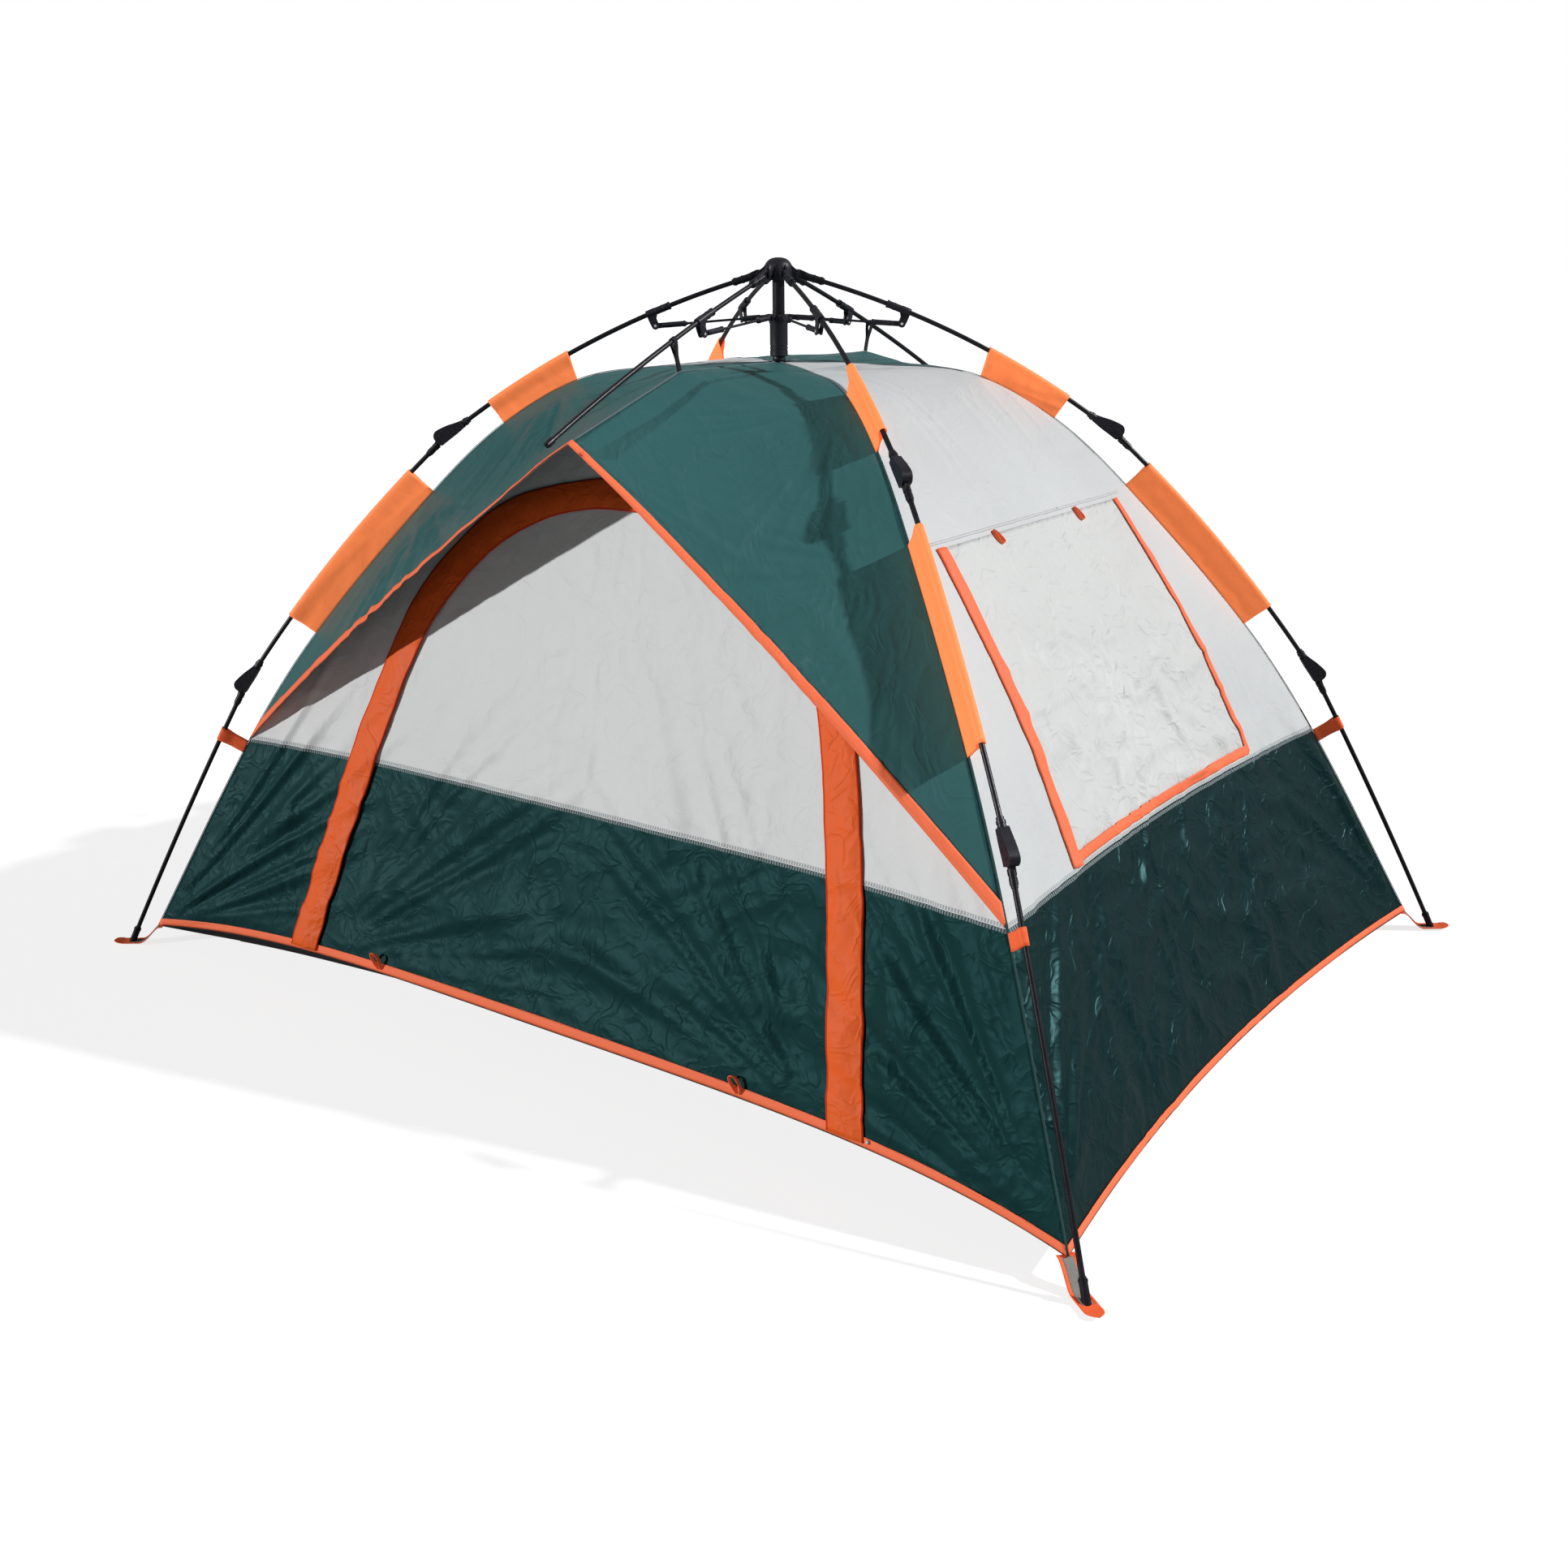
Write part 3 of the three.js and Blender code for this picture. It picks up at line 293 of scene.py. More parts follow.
hub_pivot = spot(30, 1214)
upper_elbow = spot(585, 943)
lower_elbow = spot(976, 503)
foot_end = Vector((foot_radius, 0, 2.7 * mm))
foot_bottom = 2.8 * mm
upper_pole = Pole(hub_pivot, upper_elbow, 30 * mm)
middle_pole = Pole(upper_elbow, lower_elbow, 16 * mm)
lower_pole = Pole(lower_elbow, foot_end, 4 * mm)
awning_pole = Pole(hub_pivot, spot(584, 986), 10 * mm)


def turned(bm, line, rows, sides=18, out=0.0):
    """A round form strung on a line, from rows of distance along it and radius."""
    def place(distance, radius):
        _, down, outward = line.aim(distance)
        matrix = Matrix((outward * radius, down.cross(outward) * radius, down)).transposed().to_4x4()
        matrix.translation = line.at(distance, out)
        return matrix
    made = bmesh.ops.create_circle(bm, cap_ends=True, segments=sides, radius=1, matrix=place(*rows[0]))
    face = made["verts"][0].link_faces[0]
    for before, row in zip(rows, rows[1:]):
        grown = bmesh.ops.extrude_face_region(bm, geom=[face])["geom"]
        face = next(item for item in grown if isinstance(item, bmesh.types.BMFace))
        bmesh.ops.transform(bm, matrix=place(*row) @ place(*before).inverted(), verts=face.verts)


def plate(bm, outline, thickness, side=0.0):
    """A flat moulded plate whose outline lies in the pole's plane."""
    face = bm.faces.new([bm.verts.new((p.x, side - thickness / 2, p.z)) for p in outline])
    grown = bmesh.ops.extrude_face_region(bm, geom=[face])["geom"]
    face = next(item for item in grown if isinstance(item, bmesh.types.BMFace))
    bmesh.ops.translate(bm, verts=face.verts, vec=(0, thickness, 0))


def arc(centre, radius, start, end, steps=8):
    """Points round a centre in the pole's plane, by degrees from outwards to up."""
    turn = [math.radians(start + (end - start) * i / steps) for i in range(steps + 1)]
    return [centre + Vector((math.cos(a), 0, math.sin(a))) * radius for a in turn]


def rivet(bm, centre, radius, width, head=0.5 * mm):
    """A rivet across the pole's plane with a low domed head at each end."""
    for side in (-width / 2, width / 2):
        plate(bm, arc(centre, radius, 0, 330, 11), head, side + math.copysign(head / 2, side))
        plate(bm, arc(centre, radius * 0.6, 0, 330, 11), head * 1.6, side + math.copysign(head * 0.8, side))
    plate(bm, arc(centre, radius * 0.7, 0, 330, 11), width)


def lathe(bm, rows, steps=48, closed=True):
    """A solid of revolution about the upright axis, from rows of radius and height in millimetres."""
    verts = [bm.verts.new((radius * mm, 0, height * mm)) for radius, height in rows]
    pairs = list(zip(verts, verts[1:])) + ([(verts[-1], verts[0])] if closed else [])
    edges = [bm.edges.new(pair) for pair in pairs]
    bmesh.ops.spin(bm, geom=verts + edges, cent=(0, 0, 0), axis=(0, 0, 1), dvec=(0, 0, 0),
                   angle=2 * math.pi, steps=steps, use_merge=True, use_duplicate=False)


def turn_round(bm, verts, azimuth):
    """Turns a shape about the tent's upright axis."""
    bmesh.ops.rotate(bm, verts=verts, cent=(0, 0, 0), matrix=Matrix.Rotation(azimuth, 3, "Z"))


sharp_angle = 38
rounded_angle = 50


def smooth_object(bm, name, finishes):
    """An object with the shape of a mesh, which is used up, shaded smooth."""
    mesh = bpy.data.meshes.new(name)
    bm.to_mesh(mesh)
    bm.free()
    for finish in finishes:
        mesh.materials.append(finish)
    mesh.polygons.foreach_set("use_smooth", [True] * len(mesh.polygons))
    made = bpy.data.objects.new(name, mesh)
    scene.collection.objects.link(made)
    return made


def stand_for(nodes):
    """Puts a piece in place of its CAD nodes by hiding them."""
    if nodes:
        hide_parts(*nodes)


def piece(bm, name, body, finishes, nodes=(), azimuth=0.0, rounding=0.0):
    """Turns a moulded shape into a finished piece that rides on a body and stands for CAD nodes."""
    turn_round(bm, bm.verts, azimuth)
    bmesh.ops.remove_doubles(bm, verts=bm.verts, dist=0.001 * mm)
    bmesh.ops.recalc_face_normals(bm, faces=bm.faces)
    made = smooth_object(bm, name, finishes)
    made.data.set_sharp_from_angle(angle=math.radians(sharp_angle))
    if rounding:
        bevel = made.modifiers.new("rounding", "BEVEL")
        bevel.width = rounding
        bevel.segments = 2
        bevel.limit_method = "ANGLE"
        bevel.angle_limit = math.radians(rounded_angle)
    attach(made, body)
    stand_for(nodes)
    return made


def cheeks_round(bm, outline, thickness, side, pivot, rivet_radius, rivet_width):
    """A pair of cheeks with a rivet through them for each pole, round the upright axis."""
    for azimuth in spokes.values():
        known = set(bm.verts)
        for across in (-side, side):
            plate(bm, outline, thickness, across)
        rivet(bm, pivot, rivet_radius, rivet_width)
        turn_round(bm, [vert for vert in bm.verts if vert not in known], azimuth)


cheek = 3.4 * mm
cheek_side = 5.6 * mm
bm = bmesh.new()
lathe(bm, [(0, 1241), (5, 1240.8), (9.8, 1239.9), (14.2, 1238.2), (17.6, 1235.8), (20.6, 1232.4), (22.8, 1228.4),
           (23.9, 1224), (24.5, 1219), (24.5, 1206), (23.6, 1204.4), (21.5, 1204.2), (21, 1206.5), (11, 1206.5),
           (11, 1224), (0, 1224)], closed=False)
outline = [spot(12, 1207.4), spot(29, 1207.4)] + arc(hub_pivot, 6.6 * mm, -85, 62, 10)
outline += [spot(27, 1224), spot(20, 1231), spot(12, 1236)]
cheeks_round(bm, outline, cheek, cheek_side, hub_pivot, 2.9 * mm, 2 * cheek_side + cheek)
piece(bm, "moulded_hub_dome", "shell", [fitting_black], ["hub_cap"], rounding=0.7 * mm)

bm = bmesh.new()
lathe(bm, [(8.95, 1079), (10.35, 1079), (10.35, 1223.9), (8.95, 1223.9)])
lathe(bm, [(10.2, 1150), (10.6, 1150.4), (10.7, 1152), (10.6, 1153.6), (10.2, 1154)])
piece(bm, "tube_of_centre_post", "shell", [pole_black], ["centre_post"], rounding=0.3 * mm)

bm = bmesh.new()
lathe(bm, [(0, 1060.7), (3.4, 1060.9), (4.7, 1062), (5, 1064), (4.6, 1069), (7, 1070.7), (10.6, 1071), (11.2, 1072),
           (11.2, 1077.6), (10.6, 1078.6), (8.9, 1078.7), (8.9, 1085), (0, 1085)], closed=False)
piece(bm, "plug_of_centre_post", "shell", [fitting_black], ["post_end_plug"], rounding=0.3 * mm)

runner_pivot = spot(20, 1144)
bm = bmesh.new()
lathe(bm, [(10.8, 1079.2), (14.5, 1079.2), (15.3, 1080.2), (15.3, 1088), (14.6, 1088.6), (14.6, 1090.4), (15.3, 1091),
           (15.3, 1094), (14.6, 1094.6), (14.6, 1096.4), (15.3, 1097), (15.3, 1131), (16.9, 1136), (17, 1146.8),
           (16.2, 1148), (10.8, 1148)])
outline = [spot(14, 1138.2), spot(20, 1138.2)] + arc(runner_pivot, 4.4 * mm, -60, 60, 6)
outline += [spot(20, 1148), spot(14, 1148)]
cheeks_round(bm, outline, 3.1 * mm, 3.95 * mm, runner_pivot, 2 * mm, 11 * mm)
piece(bm, "moulded_runner", "runner", [fitting_black], ["runner"], rounding=0.4 * mm)


# Each pole is a glass fibre rod in a moulded arm at the hub, with a bracket part way along it.
# A thin strut joins the bracket to the runner, and lifts the pole as the runner is pushed up.

rod_radius = 4 * mm
bracket_at = 184 * mm
strut_rivet_at = bracket_at + 15 * mm
strut_rivet_drop = 22 * mm
hinge_out = 7 * mm
elbow_width = 15.6 * mm
tongue_width = 7.9 * mm


def rod(bm, line, start, end, count=24, sides=14):
    """The glass fibre rod itself, between two distances along its line."""
    turned(bm, line, [(start + (end - start) * i / count, rod_radius) for i in range(count + 1)], sides)


def ring_rows(start, steps):
    """Rows for a fitting from steps of length and radius in millimetres, with a small shoulder at each."""
    rows, reached = [], start
    for length, radius in steps:
        rows += [(reached + 0.35 * mm, radius * mm), (reached + length * mm, radius * mm)]
        reached += length * mm
    return rows


def hub_arm(bm, line):
    """The arm that carries a pole at the hub: a flat tongue, a shoulder and a ringed socket."""
    underside, top = -5.4 * mm, 5.4 * mm
    outline = [line.at(0, -6 * mm), line.at(12 * mm, underside), line.at(46 * mm, underside), line.at(46 * mm, top)]
    outline += [line.at(26 * mm, top), line.at(15 * mm, 7.2 * mm), line.at(6 * mm, 8.6 * mm), line.at(1 * mm, 8 * mm)]
    outline += [line.at(-4 * mm, 4.4 * mm), line.at(-6 * mm, 0), line.at(-4.4 * mm, -4.2 * mm)]
    plate(bm, outline, 7 * mm)
    turned(bm, line, ring_rows(13 * mm, [(3, 5.4), (14, 6.3), (3, 6.9), (9, 6.1), (5, 6.8), (3, 5.6)]))


def bracket(bm, line):
    """A clamp on the rod with two cheeks that drop from its outer end and hold the strut's rivet."""
    start = bracket_at - 22 * mm
    turned(bm, line, ring_rows(start, [(4, 6.7), (9, 6.1), (2, 6.6), (12, 6.1), (13, 6.7), (4, 6.6)]))
    pivot = line.at(strut_rivet_at, -strut_rivet_drop)
    _, down, outward = line.aim(strut_rivet_at)
    rim = [pivot - outward * 6.2 * mm * math.cos(a) + down * 6.2 * mm * math.sin(a)
           for a in [math.radians(-90 + 20 * i) for i in range(10)]]
    outline = [line.at(bracket_at + 22 * mm, 0), line.at(bracket_at + 4 * mm, 0)]
    outline += [line.at(bracket_at + 6 * mm, -7 * mm), line.at(bracket_at + 9 * mm, -12 * mm)] + rim
    outline += [line.at(bracket_at + 22 * mm, -14 * mm)]
    for side in (-4 * mm, 4 * mm):
        plate(bm, outline, 2.6 * mm, side)
    known = set(bm.faces)
    rivet(bm, pivot, 2.3 * mm, 10.6 * mm)
    for face in bm.faces:
        if face not in known:
            face.material_index = 1


def strut(bm, line):
    """A thin rod with a flat eyed fitting on each end."""
    straight = Pole(runner_pivot, line.at(strut_rivet_at, -strut_rivet_drop), 0)
    length = straight.length
    at = straight.at
    outline = [at(0, -3.6 * mm), at(40 * mm, -3.6 * mm), at(40 * mm, 3.6 * mm), at(0, 3.6 * mm)]
    plate(bm, outline + [at(-3 * mm, 2 * mm), at(-3.8 * mm, 0), at(-3 * mm, -2 * mm)], 4 * mm)
    turned(bm, straight, ring_rows(8.6 * mm, [(3, 3.4), (22, 4.6), (6, 5.1), (4, 3.6)]))
    turned(bm, straight, [(38 * mm, 2.1 * mm), (length - 32 * mm, 2.1 * mm)], 10)
    outline = [at(length - 42 * mm, -3.8 * mm), at(length, -4.6 * mm), at(length + 3.4 * mm, -3.2 * mm)]
    outline += [at(length + 4.6 * mm, 0), at(length + 3.4 * mm, 3.2 * mm), at(length, 4.6 * mm)]
    plate(bm, outline + [at(length - 42 * mm, 3.8 * mm)], 4.4 * mm)
    turned(bm, straight, ring_rows(length - 55 * mm, [(3, 3.4), (4, 5.1), (30, 4.6), (6, 4.2)]))


def elbow(bm, upper, lower):
    """A teardrop housing on the upper rod's end, split below for the next rod's tongue."""
    _, down, outward = lower.aim(0)
    pivot = lower.at(0, hinge_out)
    end = upper.length
    top = end - 43 * mm
    round_end = [pivot + (outward * math.cos(a) + down * math.sin(a)) * 11.6 * mm
                 for a in [math.radians(-20 + 22 * i) for i in range(7)]]
    outline = [upper.at(top, 6.4 * mm), upper.at(end - 30 * mm, 10.4 * mm), upper.at(end - 20 * mm, 14 * mm)]
    outline += [upper.at(end - 10 * mm, 16.6 * mm)] + round_end
    outline += [lower.at(9 * mm, -6.6 * mm), lower.at(-6 * mm, -8 * mm), upper.at(end - 24 * mm, -7.6 * mm)]
    outline += [upper.at(top, -6.4 * mm)]
    plate(bm, outline, elbow_width)
    turned(bm, upper, ring_rows(end - 58 * mm, [(5, 5.6), (5, 6.8), (3, 5.9), (5, 6.8), (20, 6.5)]))
    rivet(bm, pivot, 2.2 * mm, elbow_width)
    rivet(bm, upper.at(end - 24 * mm, 2 * mm), 1.8 * mm, elbow_width, 0.4 * mm)


def knuckle(bm, lower):
    """The collar and tongue on a rod's upper end that turn in the elbow."""
    plate(bm, arc(lower.at(0, hinge_out), 8 * mm, 0, 340, 17), tongue_width)
    outline = [lower.at(0, -4 * mm), lower.at(24 * mm, -4 * mm), lower.at(24 * mm, 4 * mm)]
    plate(bm, outline + [lower.at(8 * mm, 8 * mm), lower.at(0, 8 * mm)], tongue_width)
    turned(bm, lower, ring_rows(13 * mm, [(9, 6.2), (3, 5.4), (10, 5.9), (4, 5.0)]))


def clamp_and_strut(name, pole, body, azimuth):
    """The clamp on a pole, and the strut that pushes the pole up."""
    bm = bmesh.new()
    bracket(bm, pole)
    piece(bm, "clamp_" + name, body, [fitting_black, rivet_white], ["bracket_" + name], azimuth, 0.6 * mm)
    bm = bmesh.new()
    strut(bm, pole)
    piece(bm, "strut_rod_" + name, "strut_" + name, [fitting_black], ["strut_" + name], azimuth, 0.5 * mm)


for name, azimuth in corners.items():
    bm = bmesh.new()
    rod(bm, upper_pole, 15 * mm, upper_pole.length - 15 * mm)
    hub_arm(bm, upper_pole)
    piece(bm, "pole_upper_" + name, "leg_" + name, [pole_black], ["upper_leg_" + name], azimuth, 0.5 * mm)
    clamp_and_strut(name, upper_pole, "leg_" + name, azimuth)
    bm = bmesh.new()
    elbow(bm, upper_pole, middle_pole)
    piece(bm, "teardrop_upper_" + name, "leg_" + name, [fitting_black], ["upper_elbow_" + name], azimuth,
          1.6 * mm)
    bm = bmesh.new()
    rod(bm, middle_pole, 12 * mm, middle_pole.length - 15 * mm)
    knuckle(bm, middle_pole)
    piece(bm, "pole_middle_" + name, "middle_" + name, [pole_black], ["middle_leg_" + name], azimuth,
          0.4 * mm)
    bm = bmesh.new()
    elbow(bm, middle_pole, lower_pole)
    piece(bm, "teardrop_lower_" + name, "middle_" + name, [fitting_black], ["lower_elbow_" + name],
          azimuth, 1.6 * mm)
    bm = bmesh.new()
    rod(bm, lower_pole, 12 * mm, lower_pole.length - 20 * mm)
    knuckle(bm, lower_pole)
    ferrule = [(3, 5.2), (4, 6.5), (20, 5.9), (4, 6.5), (14, 6.2)]
    known = set(bm.verts)
    turned(bm, lower_pole, ring_rows(lower_pole.length - 34 * mm, ferrule))
    new = [vert for vert in bm.verts if vert not in known]
    edges = {edge for vert in new for edge in vert.link_edges}
    faces = {face for vert in new for face in vert.link_faces}
    cut = bmesh.ops.bisect_plane(bm, geom=new + list(edges) + list(faces), dist=1e-6,
                                 plane_co=(0, 0, foot_bottom), plane_no=(0, 0, -1), clear_outer=True)
    bmesh.ops.edgeloop_fill(bm, edges=[item for item in cut["geom_cut"] if isinstance(item, bmesh.types.BMEdge)])
    piece(bm, "pole_lower_" + name, "lower_" + name, [pole_black], ["lower_leg_" + name], azimuth, 0.4 * mm)

for name, azimuth in awnings.items():
    bm = bmesh.new()
    rod(bm, awning_pole, 15 * mm, awning_pole.length - 2 * mm)
    hub_arm(bm, awning_pole)
    turned(bm, awning_pole, ring_rows(awning_pole.length - 16 * mm, [(2, 4.8), (11, 5.6), (3, 5.0)]))
    piece(bm, "pole_awning_" + name, "awning_" + name, [pole_black], ["awning_pole_" + name], azimuth,
          0.5 * mm)
    clamp_and_strut(name, awning_pole, "awning_" + name, azimuth)


# The canopy's cloth is coated taffeta, sewn from six panels along the legs and the doors' tops.
# Every panel is cut on the flat, laid on its own surface between the seams and then given its folds.

apex_height = 1.069
apex_opening = 0.014
hem_radius = 1.188
hem_corner_height = 0.037
band_height = 0.403
seam_shares = [(0, 1), (0.14, 0.994), (0.27, 0.978), (0.386, 0.906), (0.489, 0.799), (0.674, 0.562),
               (0.786, band_height / apex_height), (hem_radius / foot_radius, hem_corner_height / apex_height)]
band_radius = seam_shares[-2][0] * foot_radius

taffeta, group_in, group_out = new_group(
    "coated_taffeta",
    {"Place": None, "Colour": (1, 1, 1, 1), "Crease": 1.0, "Crinkle": 1.0, "Sheen": 0.4, "Seam": -9.0},
    ("Colour", "Roughness", "Height"))
place = group_in.outputs["Place"]


def ridges(scale, detail, distortion, sharpness):
    """Winding creases: the lines along which a noise crosses its middle."""
    field = add_node(taffeta, "ShaderNodeTexNoise",
                     {"Vector": place, "Scale": scale, "Detail": detail, "Distortion": distortion}).outputs[0]
    away = calc(taffeta, "ABSOLUTE", calc(taffeta, "MULTIPLY_ADD", field, 2.0, -1.0))
    near = calc(taffeta, "SUBTRACT", 1.0, calc(taffeta, "MULTIPLY", away, sharpness))
    return calc(taffeta, "MAXIMUM", near, 0.0)


crease_depth = 1.1 * mm
crinkle_depth = 0.35 * mm
thread_depth = 0.012 * mm
stitch_depth = 0.4 * mm
threads_per_metre = 310.0
stitches_per_metre = 210.0
stitch_half_width = 2.8 * mm
stitch_gap = 0.35

large = ridges(6.5, 2.0, 0.5, 6.0)
small = ridges(19.0, 2.0, 1.0, 6.0)
fine = add_node(taffeta, "ShaderNodeTexNoise", {"Vector": place, "Scale": 140.0, "Detail": 3.0}).outputs[0]
cloud = add_node(taffeta, "ShaderNodeTexNoise", {"Vector": place, "Scale": 3.0, "Detail": 4.0}).outputs[0]
warp = {"Vector": place, "Scale": threads_per_metre, "Distortion": 0.6}
threads = add_node(taffeta, "ShaderNodeTexWave", warp, bands_direction="X")
picks = add_node(taffeta, "ShaderNodeTexWave", warp, bands_direction="Y")
weave = calc(taffeta, "ADD", threads.outputs["Fac"], picks.outputs["Fac"])
parts = add_node(taffeta, "ShaderNodeSeparateXYZ", {0: place})
off_seam = calc(taffeta, "ABSOLUTE", calc(taffeta, "SUBTRACT", parts.outputs["Y"], group_in.outputs["Seam"]))
stitch_line = calc(taffeta, "LESS_THAN", off_seam, stitch_half_width)
along_seam = calc(taffeta, "FRACT", calc(taffeta, "MULTIPLY", parts.outputs["X"], stitches_per_metre))
stitch_row = calc(taffeta, "GREATER_THAN", along_seam, stitch_gap)
stitches = calc(taffeta, "MULTIPLY", stitch_line, stitch_row)
body_colour = shade(taffeta, group_in.outputs["Colour"], 0.9, 1.08, calc(taffeta, "MULTIPLY_ADD", fine, 0.25, cloud))
thread_mix = add_node(taffeta, "ShaderNodeMix", data_type="RGBA")
taffeta.links.new(calc(taffeta, "MULTIPLY", stitches, 0.75), thread_mix.inputs[0])
taffeta.links.new(body_colour, thread_mix.inputs[6])
thread_mix.inputs[7].default_value = dye(150, 158, 160)
taffeta.links.new(thread_mix.outputs[2], group_out.inputs["Colour"])
rough = calc(taffeta, "MULTIPLY_ADD", cloud, 0.12, group_in.outputs["Sheen"])
rough = calc(taffeta, "MULTIPLY_ADD", stitches, 0.3, rough)
taffeta.links.new(calc(taffeta, "MULTIPLY_ADD", fine, 0.08, rough), group_out.inputs["Roughness"])
relief = calc(taffeta, "MULTIPLY_ADD", small, 0.5, large)
relief = calc(taffeta, "MULTIPLY", relief, calc(taffeta, "MULTIPLY", group_in.outputs["Crease"], crease_depth))
crinkle = calc(taffeta, "MULTIPLY", fine, calc(taffeta, "MULTIPLY", group_in.outputs["Crinkle"], crinkle_depth))
relief = calc(taffeta, "ADD", relief, crinkle)
relief = calc(taffeta, "MULTIPLY_ADD", weave, thread_depth, relief)
relief = calc(taffeta, "MULTIPLY_ADD", stitches, stitch_depth, relief)
taffeta.links.new(relief, group_out.inputs["Height"])


def cloth_finish(name, colour, crease, crinkle, sheen, gloss_level, seam=-9.0, glint=(1, 1, 1, 1)):
    """Coated taffeta: glint is the colour that its gloss takes from the dyed thread."""
    return finish_from(name, taffeta, {"Colour": colour, "Crease": crease, "Crinkle": crinkle, "Sheen": sheen,
                                       "Seam": seam}, "UV", gloss_level, specular_tint=glint)


def painted_glow_cloth(name, colour, crease, crinkle, sheen, gloss_level, glow):
    """A cloth with painted light: an emission in its own colour makes it glow a little, in shade as well as in light.
    """
    made = cloth_finish(name, colour, crease, crinkle, sheen, gloss_level)
    surface = next(node for node in made.node_tree.nodes if node.type == "BSDF_PRINCIPLED")
    surface.inputs["Emission Color"].default_value = colour
    surface.inputs["Emission Strength"].default_value = glow
    return made


hood_green = cloth_finish("hood_green", dye(47, 95, 96), 0.8, 0.3, 0.40, 0.35)
# Painted light: the orange binding glows a little in its own colour.
binding_orange_painted_glow = painted_glow_cloth("binding_orange_painted_glow", dye(246, 118, 78), 0.2, 1.2, 0.5, 0.2, 0.10)
tape_grey = cloth_finish("tape_grey", dye(96, 110, 114), 0.0, 2.0, 0.6, 0.2)
seam_green = cloth_finish("seam_green", dye(34, 66, 66), 0.0, 2.0, 0.6, 0.2)
webbing_black = cloth_finish("webbing_black", dye(30, 30, 34), 0.0, 3.0, 0.6, 0.2)


def smooth_through(rows, x):
    """A smooth curve through rows of x and y."""
    last = len(rows) - 2
    i = max(0, min(last, next((k for k, row in enumerate(rows) if row[0] > x), len(rows)) - 1))

    def slope(k):
        low, high = rows[max(k - 1, 0)], rows[min(k + 1, len(rows) - 1)]
        return (high[1] - low[1]) / (high[0] - low[0])
    (x0, y0), (x1, y1) = rows[i], rows[i + 1]
    width = x1 - x0
    t = (x - x0) / width
    return (y0 * (2 * t ** 3 - 3 * t * t + 1) + slope(i) * width * (t ** 3 - 2 * t * t + t)
            + y1 * (3 * t * t - 2 * t ** 3) + slope(i + 1) * width * (t ** 3 - t * t))


def mix(a, b, share):
    """A value part of the way from a to b."""
    return a + (b - a) * share


def ramp(low, high, x):
    """0 below low, 1 above high, and a soft rise between."""
    t = min(max((x - low) / (high - low), 0.0), 1.0)
    return t * t * (3 - 2 * t)


seam_step = 2 * mm
seam_steps = 640
seam_heights = [apex_height * smooth_through(seam_shares, i * seam_step / foot_radius) for i in range(seam_steps)]


def seam(radius):
    """The seam line under a leg, in the leg's plane."""
    i = min(int(max(radius, 0) / seam_step), len(seam_heights) - 2)
    return Vector((radius, 0, mix(seam_heights[i], seam_heights[i + 1], radius / seam_step - i)))


def front_seam(radius, u):
    """The front leg's seam on the side that u points to."""
    point = seam(radius)
    return Vector((math.copysign(point.x * math.cos(leg_angle), u), -point.x * math.sin(leg_angle), point.z))


def crumple(a, b, size, seed, sharp=0.0):
    """Winding creases, from 0 between them to 1 on them, rounded or with a sharp crest."""
    bend = noise.noise(Vector((a / size * 0.6, b / size * 0.6, seed + 7.3)))
    field = noise.noise(Vector((a / size + bend, b / size - bend, seed)))
    off = min(1.0, abs(field) * mix(3.0, 6.0, sharp))
    return mix((1 - off * off) ** 2, 1 - off, sharp)


def fan(a, b, root, heading, spread, reach, count, depth, seed):
    """Folds that fan out from a corner where the cloth is pulled."""
    da, db = a - root[0], b - root[1]
    distance = math.hypot(da, db)
    angle = (math.atan2(db, da) - math.radians(heading) + math.pi) % (2 * math.pi) - math.pi
    fade = ramp(0.01, 0.14, distance) * (1 - ramp(reach * 0.45, reach, distance))
    if fade == 0:
        return 0.0
    fade *= math.exp(-((angle / spread) ** 2))
    field = noise.noise(Vector((angle * count, distance * 1.6, seed)))
    off = min(1.0, abs(field) * 3.0)
    return depth * fade * (1 - off * off) ** 2


def draped(surface, folds, u, v):
    """A point on a panel with its folds, and the panel's outward normal there."""
    tiny = 1e-3
    point = surface(u, v)
    du = surface(u + tiny, v) - surface(u - tiny, v)
    dv = surface(u, min(v + tiny, 1)) - surface(u, max(v - tiny, 0))
    normal = du.cross(dv).normalized()
    return point + normal * folds(u, v, point), normal


def panel(surface, columns, rows, cuts):
    """A panel on the flat: a grid of u across and v up, split along each cut line."""
    bm = bmesh.new()
    bmesh.ops.create_grid(bm, x_segments=columns, y_segments=rows, size=1)
    for vert in bm.verts:
        vert.co.y = (vert.co.y + 1) / 2
    for beyond in cuts:
        value = {vert: beyond(surface(vert.co.x, vert.co.y)) for vert in bm.verts}
        split = []
        for edge in bm.edges[:]:
            a, b = edge.verts
            if value[a] * value[b] < 0:
                _, vert = bmesh.utils.edge_split(edge, a, value[a] / (value[a] - value[b]))
                value[vert] = 0.0
                split.append(vert)
        bmesh.ops.connect_verts(bm, verts=split)
    return bm


def part_of(bm, surface, wanted):
    """The part of a cut panel whose faces lie where wanted says."""
    part = bm.copy()
    away = []
    for face in part.faces:
        middle = face.calc_center_median()
        if not wanted(surface(middle.x, middle.y)):
            away.append(face)
    bmesh.ops.delete(part, geom=away, context="FACES")
    return part


def crumples_with_frame(made, body):
    """Gives a piece on the shell, a door or a window its own copy of its mesh."""
    if body == "shell":
        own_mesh(made)
    elif body.startswith("door"):
        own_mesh(made)
    elif body.startswith("window"):
        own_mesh(made)


